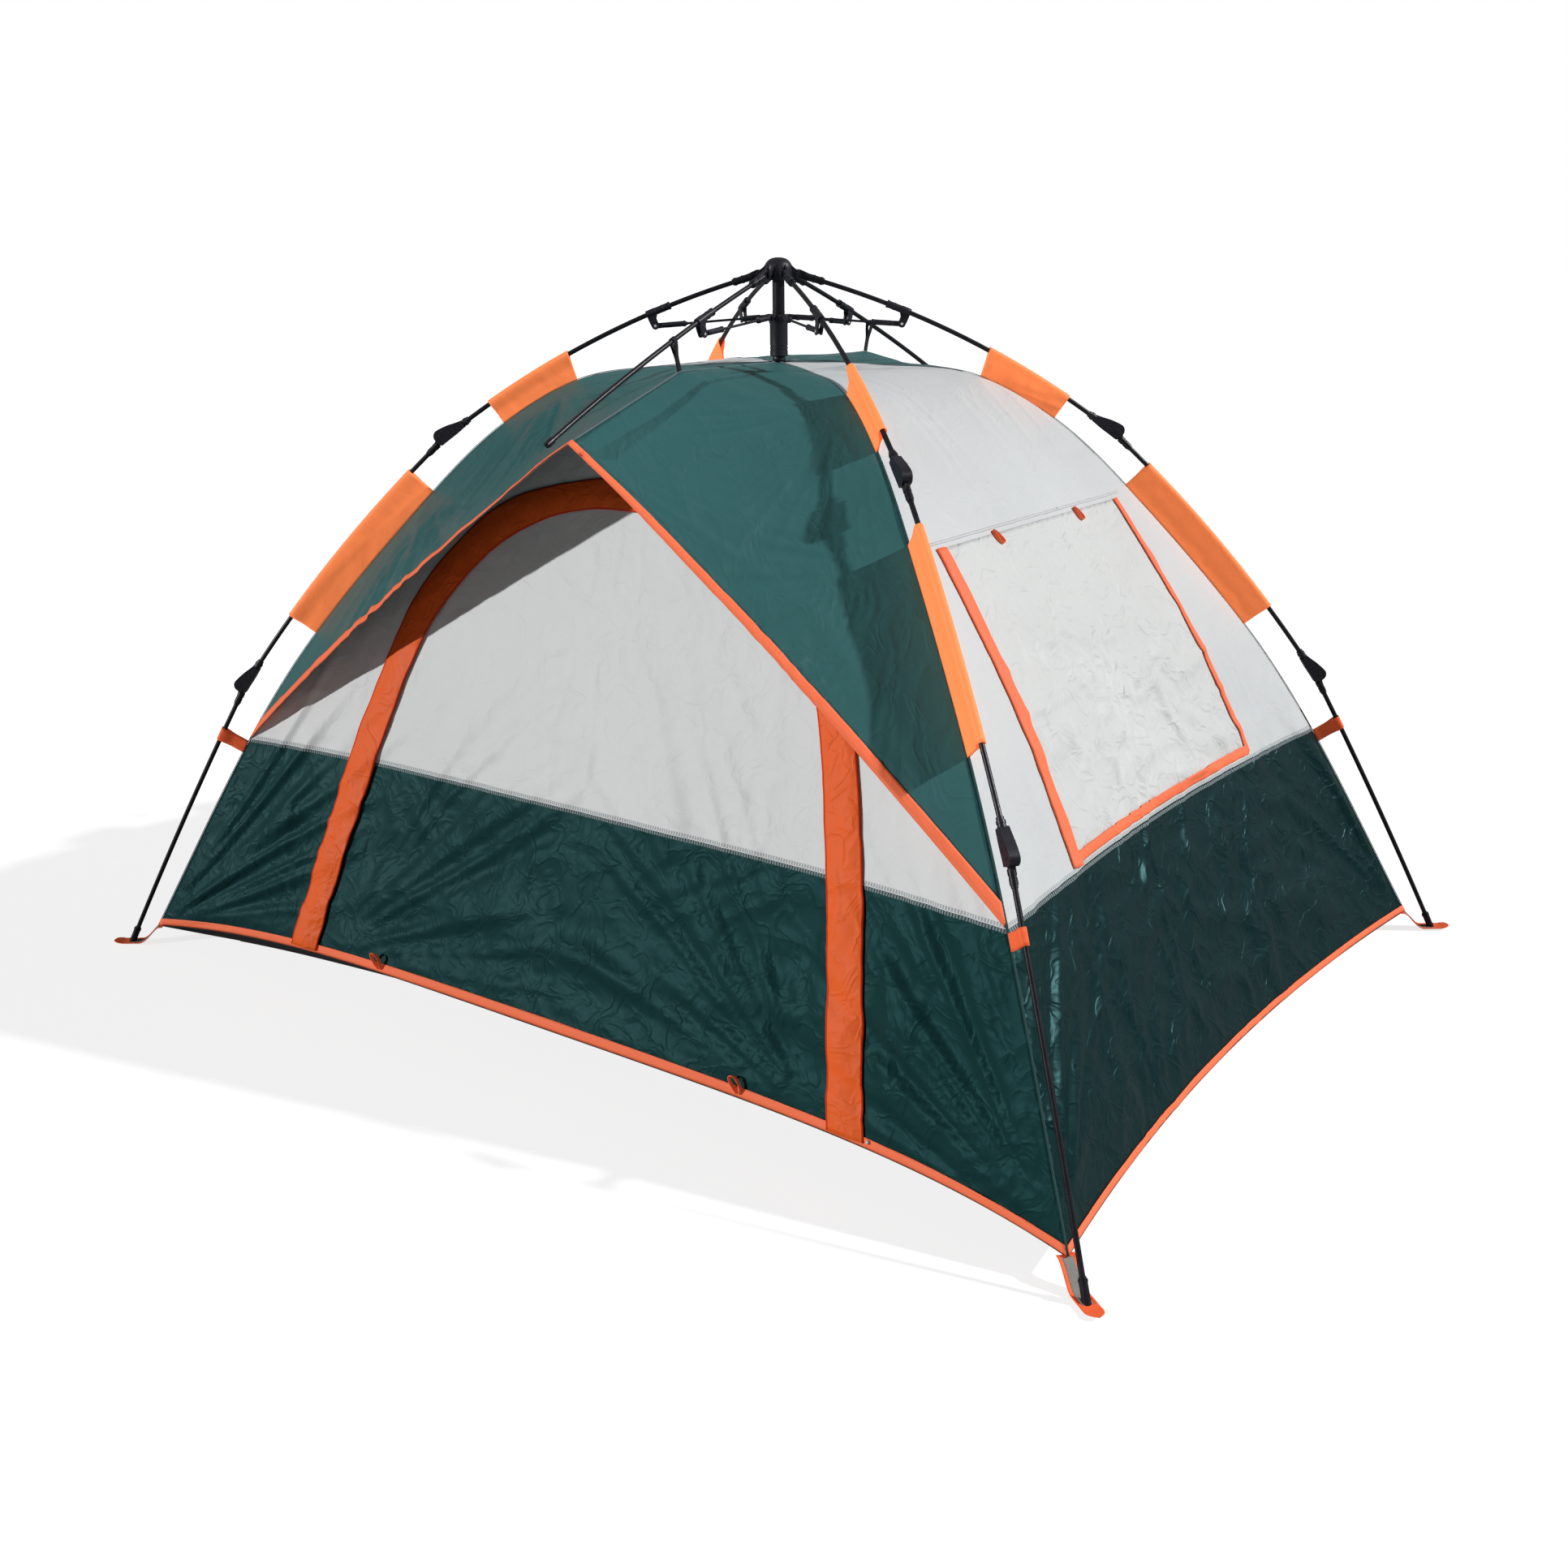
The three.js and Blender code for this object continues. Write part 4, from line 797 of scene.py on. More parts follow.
def sew(bm, name, body, finishes, surface, folds, flat, thickness, spin=0.0, nodes=(), second=None):
    """Lays a flat panel on its surface, marks its cloth coordinates, and makes it a piece."""
    if second:
        for face in bm.faces:
            middle = face.calc_center_median()
            face.material_index = 1 if second(surface(middle.x, middle.y), middle.x) else 0
    uv = bm.loops.layers.uv.new("UVMap")
    for face in bm.faces:
        for loop in face.loops:
            loop[uv].uv = flat(loop.vert.co.x, loop.vert.co.y)
    for vert in bm.verts:
        vert.co = draped(surface, folds, vert.co.x, vert.co.y)[0]
    turn_round(bm, bm.verts, spin)
    made = smooth_object(bm, name, finishes)
    solid = made.modifiers.new("thickness", "SOLIDIFY")
    solid.thickness = thickness
    solid.offset = -1
    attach(made, body)
    if name != "floor_cloth":
        crumples_with_frame(made, body)
    stand_for(nodes)
    return made


def strip(name, body, finish, point, columns, rows, thickness=0.8 * mm, spin=0.0, nodes=(), size=(1, 1),
          edge=None):
    """A sewn strip: point gives its place from s across (-1 to 1) and t along (0 to 1).

    edge is the finish of its outermost columns, where that isn't the strip's own."""
    bm = bmesh.new()
    bmesh.ops.create_grid(bm, x_segments=columns, y_segments=rows, size=1)
    for vert in bm.verts:
        vert.co.y = (vert.co.y + 1) / 2
    outermost = 1 - 2 / columns
    return sew(bm, name, body, [finish, edge or finish], point, lambda u, v, p: 0.0,
               lambda u, v: (u * size[0] / 2, v * size[1]), thickness, spin, nodes,
               lambda p, u: abs(u) > outermost)


# Roof and hood, front and back: green taffeta from the apex down to the hood's free edge.
# The edge is bound in orange tape, and grey tape covers the seam along the ridge.

hood_reach = 0.539
hood_tip_height = 0.984
hood_crown = 0.018
strap_reach = 0.271
strap_height = 1.071
roof_length = 0.62
cloth_thickness = 0.9 * mm


def ridge(share):
    """The ridge from the apex, over the strap that holds it up, to the hood's tip."""
    reach = share * hood_reach
    beyond = max(reach - strap_reach, 0) / (hood_reach - strap_reach)
    height = mix(apex_height, strap_height, min(reach / strap_reach, 1)) + beyond * (hood_tip_height - strap_height)
    return Vector((0, -reach, height))


def roof_point(share, u):
    """A point of the roof, from the ridge at u = 0 to the leg's seam at u = 1 or -1."""
    a = abs(u)
    point = ridge(share).lerp(front_seam(share * band_radius, u), a)
    point.z += hood_crown * 4 * a * (1 - a) * share * share
    return point


def roof_surface(u, v):
    """The roof from the hood's free edge up to its opening at the apex."""
    return roof_point(mix(1, apex_opening / hood_reach, v), u)


# Places that pull the roof's cloth into folds, across and out from the apex: the hood's foot on the
# leg, two sleeves higher up on the leg, and the hood's tip.

hood_foot = (0.786, 0.58)
low_sleeve, high_sleeve = (0.50, 0.37), (0.30, 0.22)
hood_tip = (0.0, hood_reach)


def roof_folds_for(seed):
    """Folds that fan out from those places, and loose creases between."""
    def folds(u, v, point):
        a, b = abs(point.x), -point.y
        edge = ramp(0, 0.05, 1 - abs(u)) * ramp(0, 0.04, abs(u)) * ramp(0, 0.03, 1 - v)
        hand = math.copysign(1, point.x)
        lift = fan(a, b, hood_foot, 155, 0.4, 0.75, 7, 0.006, seed + hand)
        lift += fan(a, b, low_sleeve, 120, 0.8, 0.38, 8, 0.004, seed + 3 * hand)
        lift += fan(a, b, high_sleeve, 120, 0.9, 0.33, 8, 0.0035, seed + 5 * hand)
        lift += fan(a, b, hood_tip, 20, 0.6, 0.5, 7, 0.003, seed + 7 * hand)
        lift += 0.0014 * crumple(a, b, 0.13, seed + 11 * hand)
        lift += 0.0010 * crumple(a, b * 0.6, 0.08, seed + 19 * hand, 0.7)
        return edge * lift
    return folds


def roof_flat(u, v):
    """The cloth's own coordinates: the roof's slope makes it longer than it looks from above."""
    point = roof_surface(u, v)
    return (point.x, -point.y * 1.15)


for name, spin, seed in (("front", 0.0, 2.0), ("back", math.pi, 31.0)):
    folds = roof_folds_for(seed)
    bm = panel(roof_surface, 190, 100, [])
    roof = sew(bm, "hood_cloth_" + name, "shell", [hood_green], roof_surface, folds, roof_flat, cloth_thickness, spin,
               ["roof_" + name])

    def hood_edge(s, t):
        """The binding is folded over the hood's free edge."""
        u = -1 + 2 * t
        depth = 13 * mm * abs(s)
        point, normal = draped(roof_surface, folds, u, min(depth / roof_length, 1))
        return point + normal * (0.3 * mm + 0.9 * mm * (1 if s > 0 else -1) * min(1, abs(s) * 6))
    binding = strip("hood_binding_" + name, "shell", binding_orange_painted_glow, hood_edge, 8, 200, 0.7 * mm, spin,
                    size=(0.026, 2.1))

    def ridge_tape(s, t):
        """Flat tape along the ridge's seam."""
        point = draped(roof_surface, folds, 0.0, mix(0.02, 1, t))[0]
        return point + Vector((s * 3.5 * mm, 0, 1.2 * mm - abs(s) * 0.8 * mm))
    tape = strip("ridge_tape_" + name, "shell", tape_grey, ridge_tape, 2, 60, 0.6 * mm, spin, size=(0.007, 0.54))


def leg_tape(start, end, half):
    """Tape or a folded seam under a leg, between two distances from the tent's middle."""
    def point(s, t):
        radius = mix(start, end, t)
        middle = seam(radius)
        ahead = seam(radius + 0.002) - middle
        out = Vector((-ahead.z, 0, ahead.x)).normalized()
        return middle + out * (1.2 * mm - abs(s) * 0.6 * mm) + Vector((0, s * half, 0))
    return point


tape_end = 0.36

for name, azimuth in corners.items():
    strip("leg_seam_tape_" + name, "shell", tape_grey, leg_tape(0.012, tape_end, 3.2 * mm), 2, 40, 0.6 * mm, azimuth,
          size=(0.0064, 0.36))
    strip("leg_seam_edge_" + name, "shell", seam_green, leg_tape(tape_end, hem_radius, 1.8 * mm), 2, 90, 0.5 * mm,
          azimuth, size=(0.0036, 1.3))


# A black webbing loop hangs the ridge from each awning pole: it is folded round the rod and sewn
# to the ridge.

strap_on_pole = 0.272
strap_loop_radius = 5.4 * mm
strap_round_share = 0.3


def ridge_loop(s, t):
    """From the ridge up one side, round the rod and down the other side."""
    hold = awning_pole.at(strap_on_pole)
    _, down, outward = awning_pole.aim(strap_on_pole)
    base = Vector((strap_reach, 0, strap_height + 0.5 * mm))
    turn = 2 * t - 1
    if abs(turn) < strap_round_share:
        angle = turn / strap_round_share * math.pi * 0.62
        middle = (hold + (outward * math.cos(angle)) * strap_loop_radius
                  + Vector((0, math.sin(angle) * strap_loop_radius, 0)))
    else:
        share = (abs(turn) - strap_round_share) / (1 - strap_round_share)
        start = hold - outward * 2 * mm
        middle = start.lerp(base, share)
        middle.y = math.copysign(mix(5.2 * mm, 1.0 * mm, ramp(0, 0.6, share)), turn)
    return middle + down * s * 4.5 * mm


for name, azimuth in awnings.items():
    strip("ridge_webbing_" + name, "shell", webbing_black, ridge_loop, 4, 60, 0.9 * mm, azimuth,
          size=(0.009, 0.16))


# Front and back walls lean in under the hood: cream cloth above a green band, with an arched door.
# The zip round the door lies under an orange cover flap, sewn down outside and free inside.

hem_reach = 0.652
hem_height = 0.066
wall_length = 0.9
upper_reach, upper_height = 0.335, 1.045
wall_lean = (hem_reach - upper_reach) / (upper_height - hem_height)


def wall_meets_roof(u):
    """Where the wall's plane comes up under the roof."""
    low, high = 0.0, 1.0
    for _ in range(20):
        middle = (low + high) / 2
        point = roof_point(middle, u)
        if point.y > -hem_reach + wall_lean * (point.z - hem_height):
            low = middle
        else:
            high = middle
    point = roof_point(low, u)
    return point - Vector((0, 0, 3 * mm * (1 - abs(u) ** 8)))


wall_steps = 160
wall_tops = [wall_meets_roof(i / wall_steps) for i in range(wall_steps + 1)]


def wall_top(u):
    """The wall's upper edge, from the steps worked out above."""
    i = min(int(abs(u) * wall_steps), wall_steps - 1)
    point = wall_tops[i].lerp(wall_tops[i + 1], abs(u) * wall_steps - i)
    return Vector((math.copysign(point.x, u), point.y, point.z))


join_radius = wall_top(1.0).xy.length


def wall_hem(u):
    """The wall's lower edge: straight in the middle and pulled out to the corners."""
    corner = front_seam(hem_radius, u)
    pull = abs(u) ** 4
    return Vector((abs(u) * corner.x, mix(-hem_reach, corner.y, pull), mix(hem_height, corner.z, pull)))


def wall_surface(u, v):
    """The wall from hem to roof, with its ends bent along the legs' seams."""
    edge = front_seam(mix(hem_radius, join_radius, v), u)
    chord = front_seam(hem_radius, u).lerp(front_seam(join_radius, u), v)
    return wall_hem(u).lerp(wall_top(u), v) + (edge - chord) * abs(u) ** 4


def wall_place(x, z):
    """u and v of the wall's point at a distance across and a height."""
    u, v = x / 0.9, (z - hem_height) / wall_length
    for _ in range(25):
        point = wall_surface(u, v)
        width = point.x / u if abs(u) > 0.02 else 0.9
        u = min(max(u + (x - point.x) / width, -1), 1)
        v = min(max(v + (z - point.z) / 0.95, 0), 1)
        if abs(x - point.x) + abs(z - point.z) < 0.02 * mm:
            break
    return u, v


# Places that pull the wall's cloth into folds, across and up: the hem's corner, the foot of the
# cover flap, the door's lower corner and its edge at the band.

hem_corner = (0.956, hem_corner_height)
cover_foot = (0.66, 0.05)
door_corner = (0.53, 0.07)
door_at_band = (0.46, 0.43)


def wall_folds_for(seed):
    """Folds that fan out from those places, a slack billow in the door's foot and loose creases."""
    def folds(u, v, point):
        x, z = point.x, point.z
        hand = math.copysign(1, x)
        edge = ramp(0, 0.04, 1 - abs(u)) * ramp(0, 0.05, 1 - v) * mix(0.25, 1, ramp(0, 0.05, v))
        a = abs(x)
        outside = ramp(0.58, 0.66, a)
        lift = mix(0.35, 1, outside) * fan(a, z, hem_corner, 148, 0.5, 0.85, 9, 0.012, seed + hand)
        lift += outside * fan(a, z, cover_foot, 108, 0.4, 0.5, 7, 0.007, seed + 4 * hand)
        inside = 1 - ramp(0.47, 0.52, a)
        lift += inside * fan(a, z, door_corner, 152, 0.5, 0.85, 8, 0.008, seed + 6 * hand)
        lift += inside * fan(a, z, door_at_band, 200, 0.5, 0.5, 5, 0.003, seed + 8 * hand)
        low = 1 - ramp(0.34, 0.46, z)
        lift += (0.0010 + 0.0008 * low) * crumple(x * 0.7, z, 0.14, seed + 2, 0.3)
        lift += (0.0010 + 0.0008 * inside * low) * crumple(x, z, 0.08, seed + 12, 0.8)
        billow = math.exp(-(((z - 0.19 - 0.12 * noise.noise(Vector((x * 1.7, seed, 0)))) / 0.035) ** 2))
        lift += 0.008 * inside * billow
        lift -= 0.008 * inside * ramp(0.07, 0.2, z) * (1 - ramp(0.25, 0.42, z))
        return edge * lift
    return folds


wall_slope = 1.053


def wall_flat(u, v):
    """The cloth's own coordinates: across, and up along the wall's slope."""
    point = wall_surface(u, v)
    return (point.x, point.z * wall_slope)


band_up = band_height * wall_slope
teal_glint = (0.25, 0.80, 0.82, 1)
row_below, row_above = 3 * mm, 4 * mm
# Painted light: the wall's band is the same cloth as the side's, lighter here, where only the key lamp lights it.
wall_green_painted_lighter = cloth_finish("wall_green_painted_lighter", dye(21, 52, 53), 1.1, 0.3, 0.36, 0.10, band_up - row_below,
                          glint=teal_glint)
# Painted light: the wall's cream is the same cloth as the side's, lighter here, where only the key lamp lights the
# wall.
wall_cream_painted_lighter = cloth_finish("wall_cream_painted_lighter", dye(218, 220, 220), 0.45, 0.4, 0.42, 0.25, band_up + row_above)
flap_orange = cloth_finish("flap_orange", dye(240, 100, 38), 1.2, 1.0, 0.42, 0.14)
flap_edge = cloth_finish("flap_edge", dye(206, 58, 22), 0.2, 1.0, 0.5, 0.1)

outer_arch = [(0.617, hem_height), (0.577, 0.250), (0.541, 0.412), (0.483, 0.603), (0.443, 0.695), (0.379, 0.776),
              (0.270, 0.860), (0.098, 0.905), (0.0, 0.910)]
inner_arch = [(0.552, hem_height), (0.514, 0.250), (0.476, 0.410), (0.415, 0.613), (0.359, 0.704), (0.274, 0.786),
              (0.180, 0.836), (0.090, 0.858), (0.0, 0.862)]


def arch_line(rows):
    """A smooth line up one side of an arch, over it and down the other, by share of its length."""
    full = [Vector((w, h)) for w, h in rows] + [Vector((-w, h)) for w, h in rows[-2::-1]]
    reached = [0.0]
    for a, b in zip(full, full[1:]):
        reached.append(reached[-1] + (b - a).length)
    wide = [(r / reached[-1], p.x) for r, p in zip(reached, full)]
    high = [(r / reached[-1], p.y) for r, p in zip(reached, full)]
    return lambda t: Vector((smooth_through(wide, t), smooth_through(high, t)))


outer_line, inner_line = arch_line(outer_arch), arch_line(inner_arch)
door_middle = Vector((0, 0.35))
door_edge = [inner_line(i / 64) for i in range(65)]
door_edge = [point + (point - door_middle).normalized() * 8 * mm for point in door_edge]
door_edge[0].y = door_edge[-1].y = 0.072


def inside_line(line):
    """How far a point is outside a closed outline, less than 0 inside it, and at most 30 mm."""
    far = 30 * mm
    pairs = list(zip(line, line[1:] + line[:1]))
    far_x = max(abs(point.x) for point in line) + far
    far_y = max(point.y for point in line) + far

    def distance(x, y):
        if abs(x) > far_x or y > far_y:
            return far
        nearest, crossings = 1e9, False
        for a, b in pairs:
            dx, dy = b.x - a.x, b.y - a.y
            t = min(max(((x - a.x) * dx + (y - a.y) * dy) / (dx * dx + dy * dy), 0), 1)
            gap = (a.x + dx * t - x) ** 2 + (a.y + dy * t - y) ** 2
            nearest = min(nearest, gap)
            if (a.y > y) != (b.y > y) and x < a.x + (y - a.y) / dy * dx:
                crossings = not crossings
        return -math.sqrt(nearest) if crossings else math.sqrt(nearest)
    return distance


door_distance = inside_line(door_edge)
zip_foot = 0.070
bead_across = 0.624
loop_across = 0.391


def off_door(point):
    """Where the door's zip cuts the wall."""
    return door_distance(point.x, point.z)


def above_band(point):
    """Where the green band ends and the cream cloth begins."""
    return point.z - band_height


for name, spin, seed in (("front", 0.0, 4.0), ("back", math.pi, 47.0)):
    folds = wall_folds_for(seed)
    bm = panel(wall_surface, 230, 104, [above_band, off_door])
    door = part_of(bm, wall_surface, lambda p: off_door(p) < 0)
    wall = part_of(bm, wall_surface, lambda p: off_door(p) > 0)
    bm.free()
    two_tone = [wall_green_painted_lighter, wall_cream_painted_lighter]
    wall = sew(wall, "wall_cloth_" + name, "shell", two_tone, wall_surface, folds, wall_flat, cloth_thickness, spin,
               ["wall_" + name], second=lambda p, u: above_band(p) > 0)
    door = sew(door, "door_cloth_" + name, "door_" + name, two_tone, wall_surface, folds, wall_flat, cloth_thickness,
               spin, ["door_" + name], second=lambda p, u: above_band(p) > 0)

    def cover(s, t):
        """The zip's cover flap: flat at its sewn outer edge, lifted and wavy at its free inner one."""
        place = outer_line(t).lerp(inner_line(t), (s + 1) / 2)
        point, normal = draped(wall_surface, folds, *wall_place(place.x, place.y))
        free = (s + 1) / 2
        wave = noise.noise(Vector((t * 17, free * 1.2, seed)))
        puff = 4 * free * (1 - free)
        fine = noise.noise(Vector((t * 60, free * 2.5, seed + 3)))
        return point + normal * (2.2 * mm + puff * (3.0 + 1.8 * wave) * mm + free * 2.0 * mm + 0.5 * fine * mm)
    cover_flap = strip("door_cover_" + name, "shell", flap_orange, cover, 18, 300, 0.8 * mm, spin,
                       size=(0.065, 2.5), edge=flap_edge)

    def hem(s, t):
        """The hem's binding is folded over the wall's lower edge."""
        u = -1 + 2 * t
        height = (15 * mm if s > 0 else 9 * mm) * abs(s)
        point, normal = draped(wall_surface, folds, u, height / wall_length)
        return point + normal * ((1 if s > 0 else -1) * min(1, abs(s) * 5) * 1.4 * mm)
    hem_tape = strip("hem_binding_" + name, "shell", binding_orange_painted_glow, hem, 8, 220, 0.8 * mm, spin, size=(0.03, 2.0))

    root, normal = draped(wall_surface, folds, *wall_place(bead_across, zip_foot))
    bm = bmesh.new()
    bmesh.ops.create_uvsphere(bm, u_segments=16, v_segments=10, radius=3 * mm)
    bmesh.ops.translate(bm, verts=bm.verts, vec=root + normal * 3.5 * mm)
    bead = piece(bm, "zip_bead_" + name, "shell", [rivet_white], azimuth=spin)
    crumples_with_frame(bead, "shell")

    for side, hand in (("right", 1), ("left", -1)):
        def loop(s, t):
            """A folded tape loop that holds the rolled door."""
            root, normal = draped(wall_surface, folds, *wall_place(hand * loop_across, zip_foot))
            angle = t * 2 * math.pi * 0.9 + 0.3
            high = 14 * mm * (1 - math.cos(angle))
            wide = 6 * mm * math.sin(angle) * (1 + high / 0.05)
            return root + normal * (2.4 * mm + s * 4 * mm + high * 0.2) + Vector((wide - high * 0.3, 0, high))
        strip("door_loop_%s_%s" % (name, side), "shell", binding_orange_painted_glow, loop, 4, 24, 0.9 * mm, spin,
              size=(0.008, 0.07))


# Side panels: cream above a green band, pulled in between the legs, with a window under a zipped flap.
# Orange strips cover the zips on three of the window's edges, and a net screen lies behind it.

side_hem_drop = 5 * mm
side_hem_sag = 55 * mm
slack_from = 0.640
side_length = 1.5


def side_point(radius, u):
    """A point of the side, at a distance down the legs and from u = -1 at one leg to 1 at the other."""
    point = seam(radius)
    slack = max(radius - slack_from, 0) / (hem_radius - slack_from)
    sag = side_hem_sag * slack * (1 - u * u)
    drop = side_hem_drop * slack * slack * (1 - u * u)
    return Vector((point.x * math.cos(leg_angle) - sag, u * point.x * math.sin(leg_angle), point.z - drop))


def side_surface(u, v):
    return side_point(mix(hem_radius, apex_opening, v), u)


climb_steps = 200
side_climb = [0.0]
for i in range(1, climb_steps + 1):
    step = side_surface(0.5, i / climb_steps) - side_surface(0.5, (i - 1) / climb_steps)
    side_climb.append(side_climb[-1] + step.length)
side_band_v = (hem_radius - band_radius) / (hem_radius - apex_opening)


def climb(v):
    """The way up over the cloth from the hem."""
    place = min(max(v * climb_steps, 0), climb_steps - 0.001)
    i = int(place)
    return mix(side_climb[i], side_climb[i + 1], place - i)


def side_flat(u, v):
    """The cloth's own coordinates: along the side, and the way up from the hem."""
    return (side_surface(u, v).y, climb(v))


def side_place(y, z):
    """u and v of the side's point at a distance along and a height."""
    u = 0.0
    for _ in range(3):
        low, high = 0.0, 1.0
        for _ in range(22):
            v = (low + high) / 2
            if side_surface(u, v).z < z:
                low = v
            else:
                high = v
        u = y / (mix(hem_radius, apex_opening, v) * math.sin(leg_angle))
    return u, v


window_top, window_bottom = 0.838, 0.420
window_top_half, window_bottom_half = 0.287, 0.327
seam_half, seam_height = 0.318, 0.846
toggle_along, toggle_height = 0.137, 0.842


# Places that pull the side's cloth into folds, along it and up from the hem: the hem's corner, and
# the green band's edge beside the window.

side_corner = (0.705, 0.0)
beside_window = 0.40


def side_folds_for(seed):
    """Folds that fan out from those places, and hard creases over the lower window and the band's middle."""
    def folds(u, v, point):
        y, b = point.y, climb(v)
        hand = math.copysign(1, y)
        a = abs(y)
        edge = ramp(0, 0.05, 1 - abs(u)) * mix(0.3, 1, ramp(0, 0.04, v)) * ramp(0, 0.1, 1 - v)
        band = climb(side_band_v)
        low = 1 - ramp(band - 0.04, band + 0.10, b)
        window = ramp(band, band + 0.05, b) * (1 - ramp(band + 0.22, band + 0.42, b)) * (1 - ramp(0.24, 0.36, a))
        lift = fan(a, b, side_corner, 118, 0.45, 0.6, 7, 0.010, seed + hand)
        lift += fan(a, b, (beside_window, band), 80, 0.8, 0.3, 6, 0.002, seed + 4 * hand)
        mid = 1 - ramp(0.38, 0.55, a)
        slant, rise = 0.8 * y + 0.6 * b, 0.8 * b - 0.6 * y
        creased = 0.0050 * window
        lift += (0.0008 + 0.0040 * low * mid + creased) * crumple(slant * 0.8, rise, 0.13, seed + 2, 0.5)
        lift += (0.0004 + 0.0035 * low * mid + creased) * crumple(slant * 0.7, rise, 0.08, seed + 12, 0.8)
        lift += 0.0012 * (1 - low) * crumple(y * 2.2, b * 0.35, 0.12, seed + 22)
        return edge * lift
    return folds


band_up = climb(side_band_v)
# Painted shade: the same band cloth as the wall's, darker here, where the right-hand lamp lights the side strongly.
side_green_painted_darker = cloth_finish("side_green_painted_darker", dye(8, 34, 36), 1.4, 0.4, 0.28, 0.18, band_up - row_below,
                          glint=teal_glint)
# Painted shade: the window's and the side's cream are the wall's cream cloth, darker here, where the right-hand lamp
# lights the side strongly.
window_cream_painted_darker = cloth_finish("window_cream_painted_darker", dye(207, 209, 208), 1.5, 0.4, 0.38, 0.25)
side_cream_painted_darker = cloth_finish("side_cream_painted_darker", dye(204, 207, 208), 0.5, 0.4, 0.36, 0.3, band_up + row_above)

window_line = [Vector((-window_bottom_half, window_bottom)), Vector((window_bottom_half, window_bottom)),
               Vector((window_top_half, window_top)), Vector((-window_top_half, window_top))]
window_distance = inside_line(window_line)


def off_window(point):
    """Where the window's zip cuts the side."""
    return window_distance(point.y, point.z)


net_black, tree = bare_material("net_black")
where = add_node(tree, "ShaderNodeTexCoord")
meshes = add_node(tree, "ShaderNodeTexVoronoi", {"Vector": where.outputs["Object"], "Scale": 700.0},
                  feature="DISTANCE_TO_EDGE")
wire = add_node(tree, "ShaderNodeMapRange", {"Value": meshes.outputs["Distance"], "From Min": 0.08, "From Max": 0.2,
                                             "To Min": 1.0, "To Max": 0.35})
surface = add_node(tree, "ShaderNodeBsdfPrincipled", {"Base Color": dye(44, 44, 48), "Roughness": 0.7,
                                                      "Alpha": wire.outputs[0]})
add_node(tree, "ShaderNodeOutputMaterial", {"Surface": surface.outputs[0]})


def net_sag(u, v, point):
    """The net is sewn behind the window's edge and hangs a little free of the flap."""
    return -1.5 * mm - 9 * mm * ramp(0, 0.03, -off_window(point))


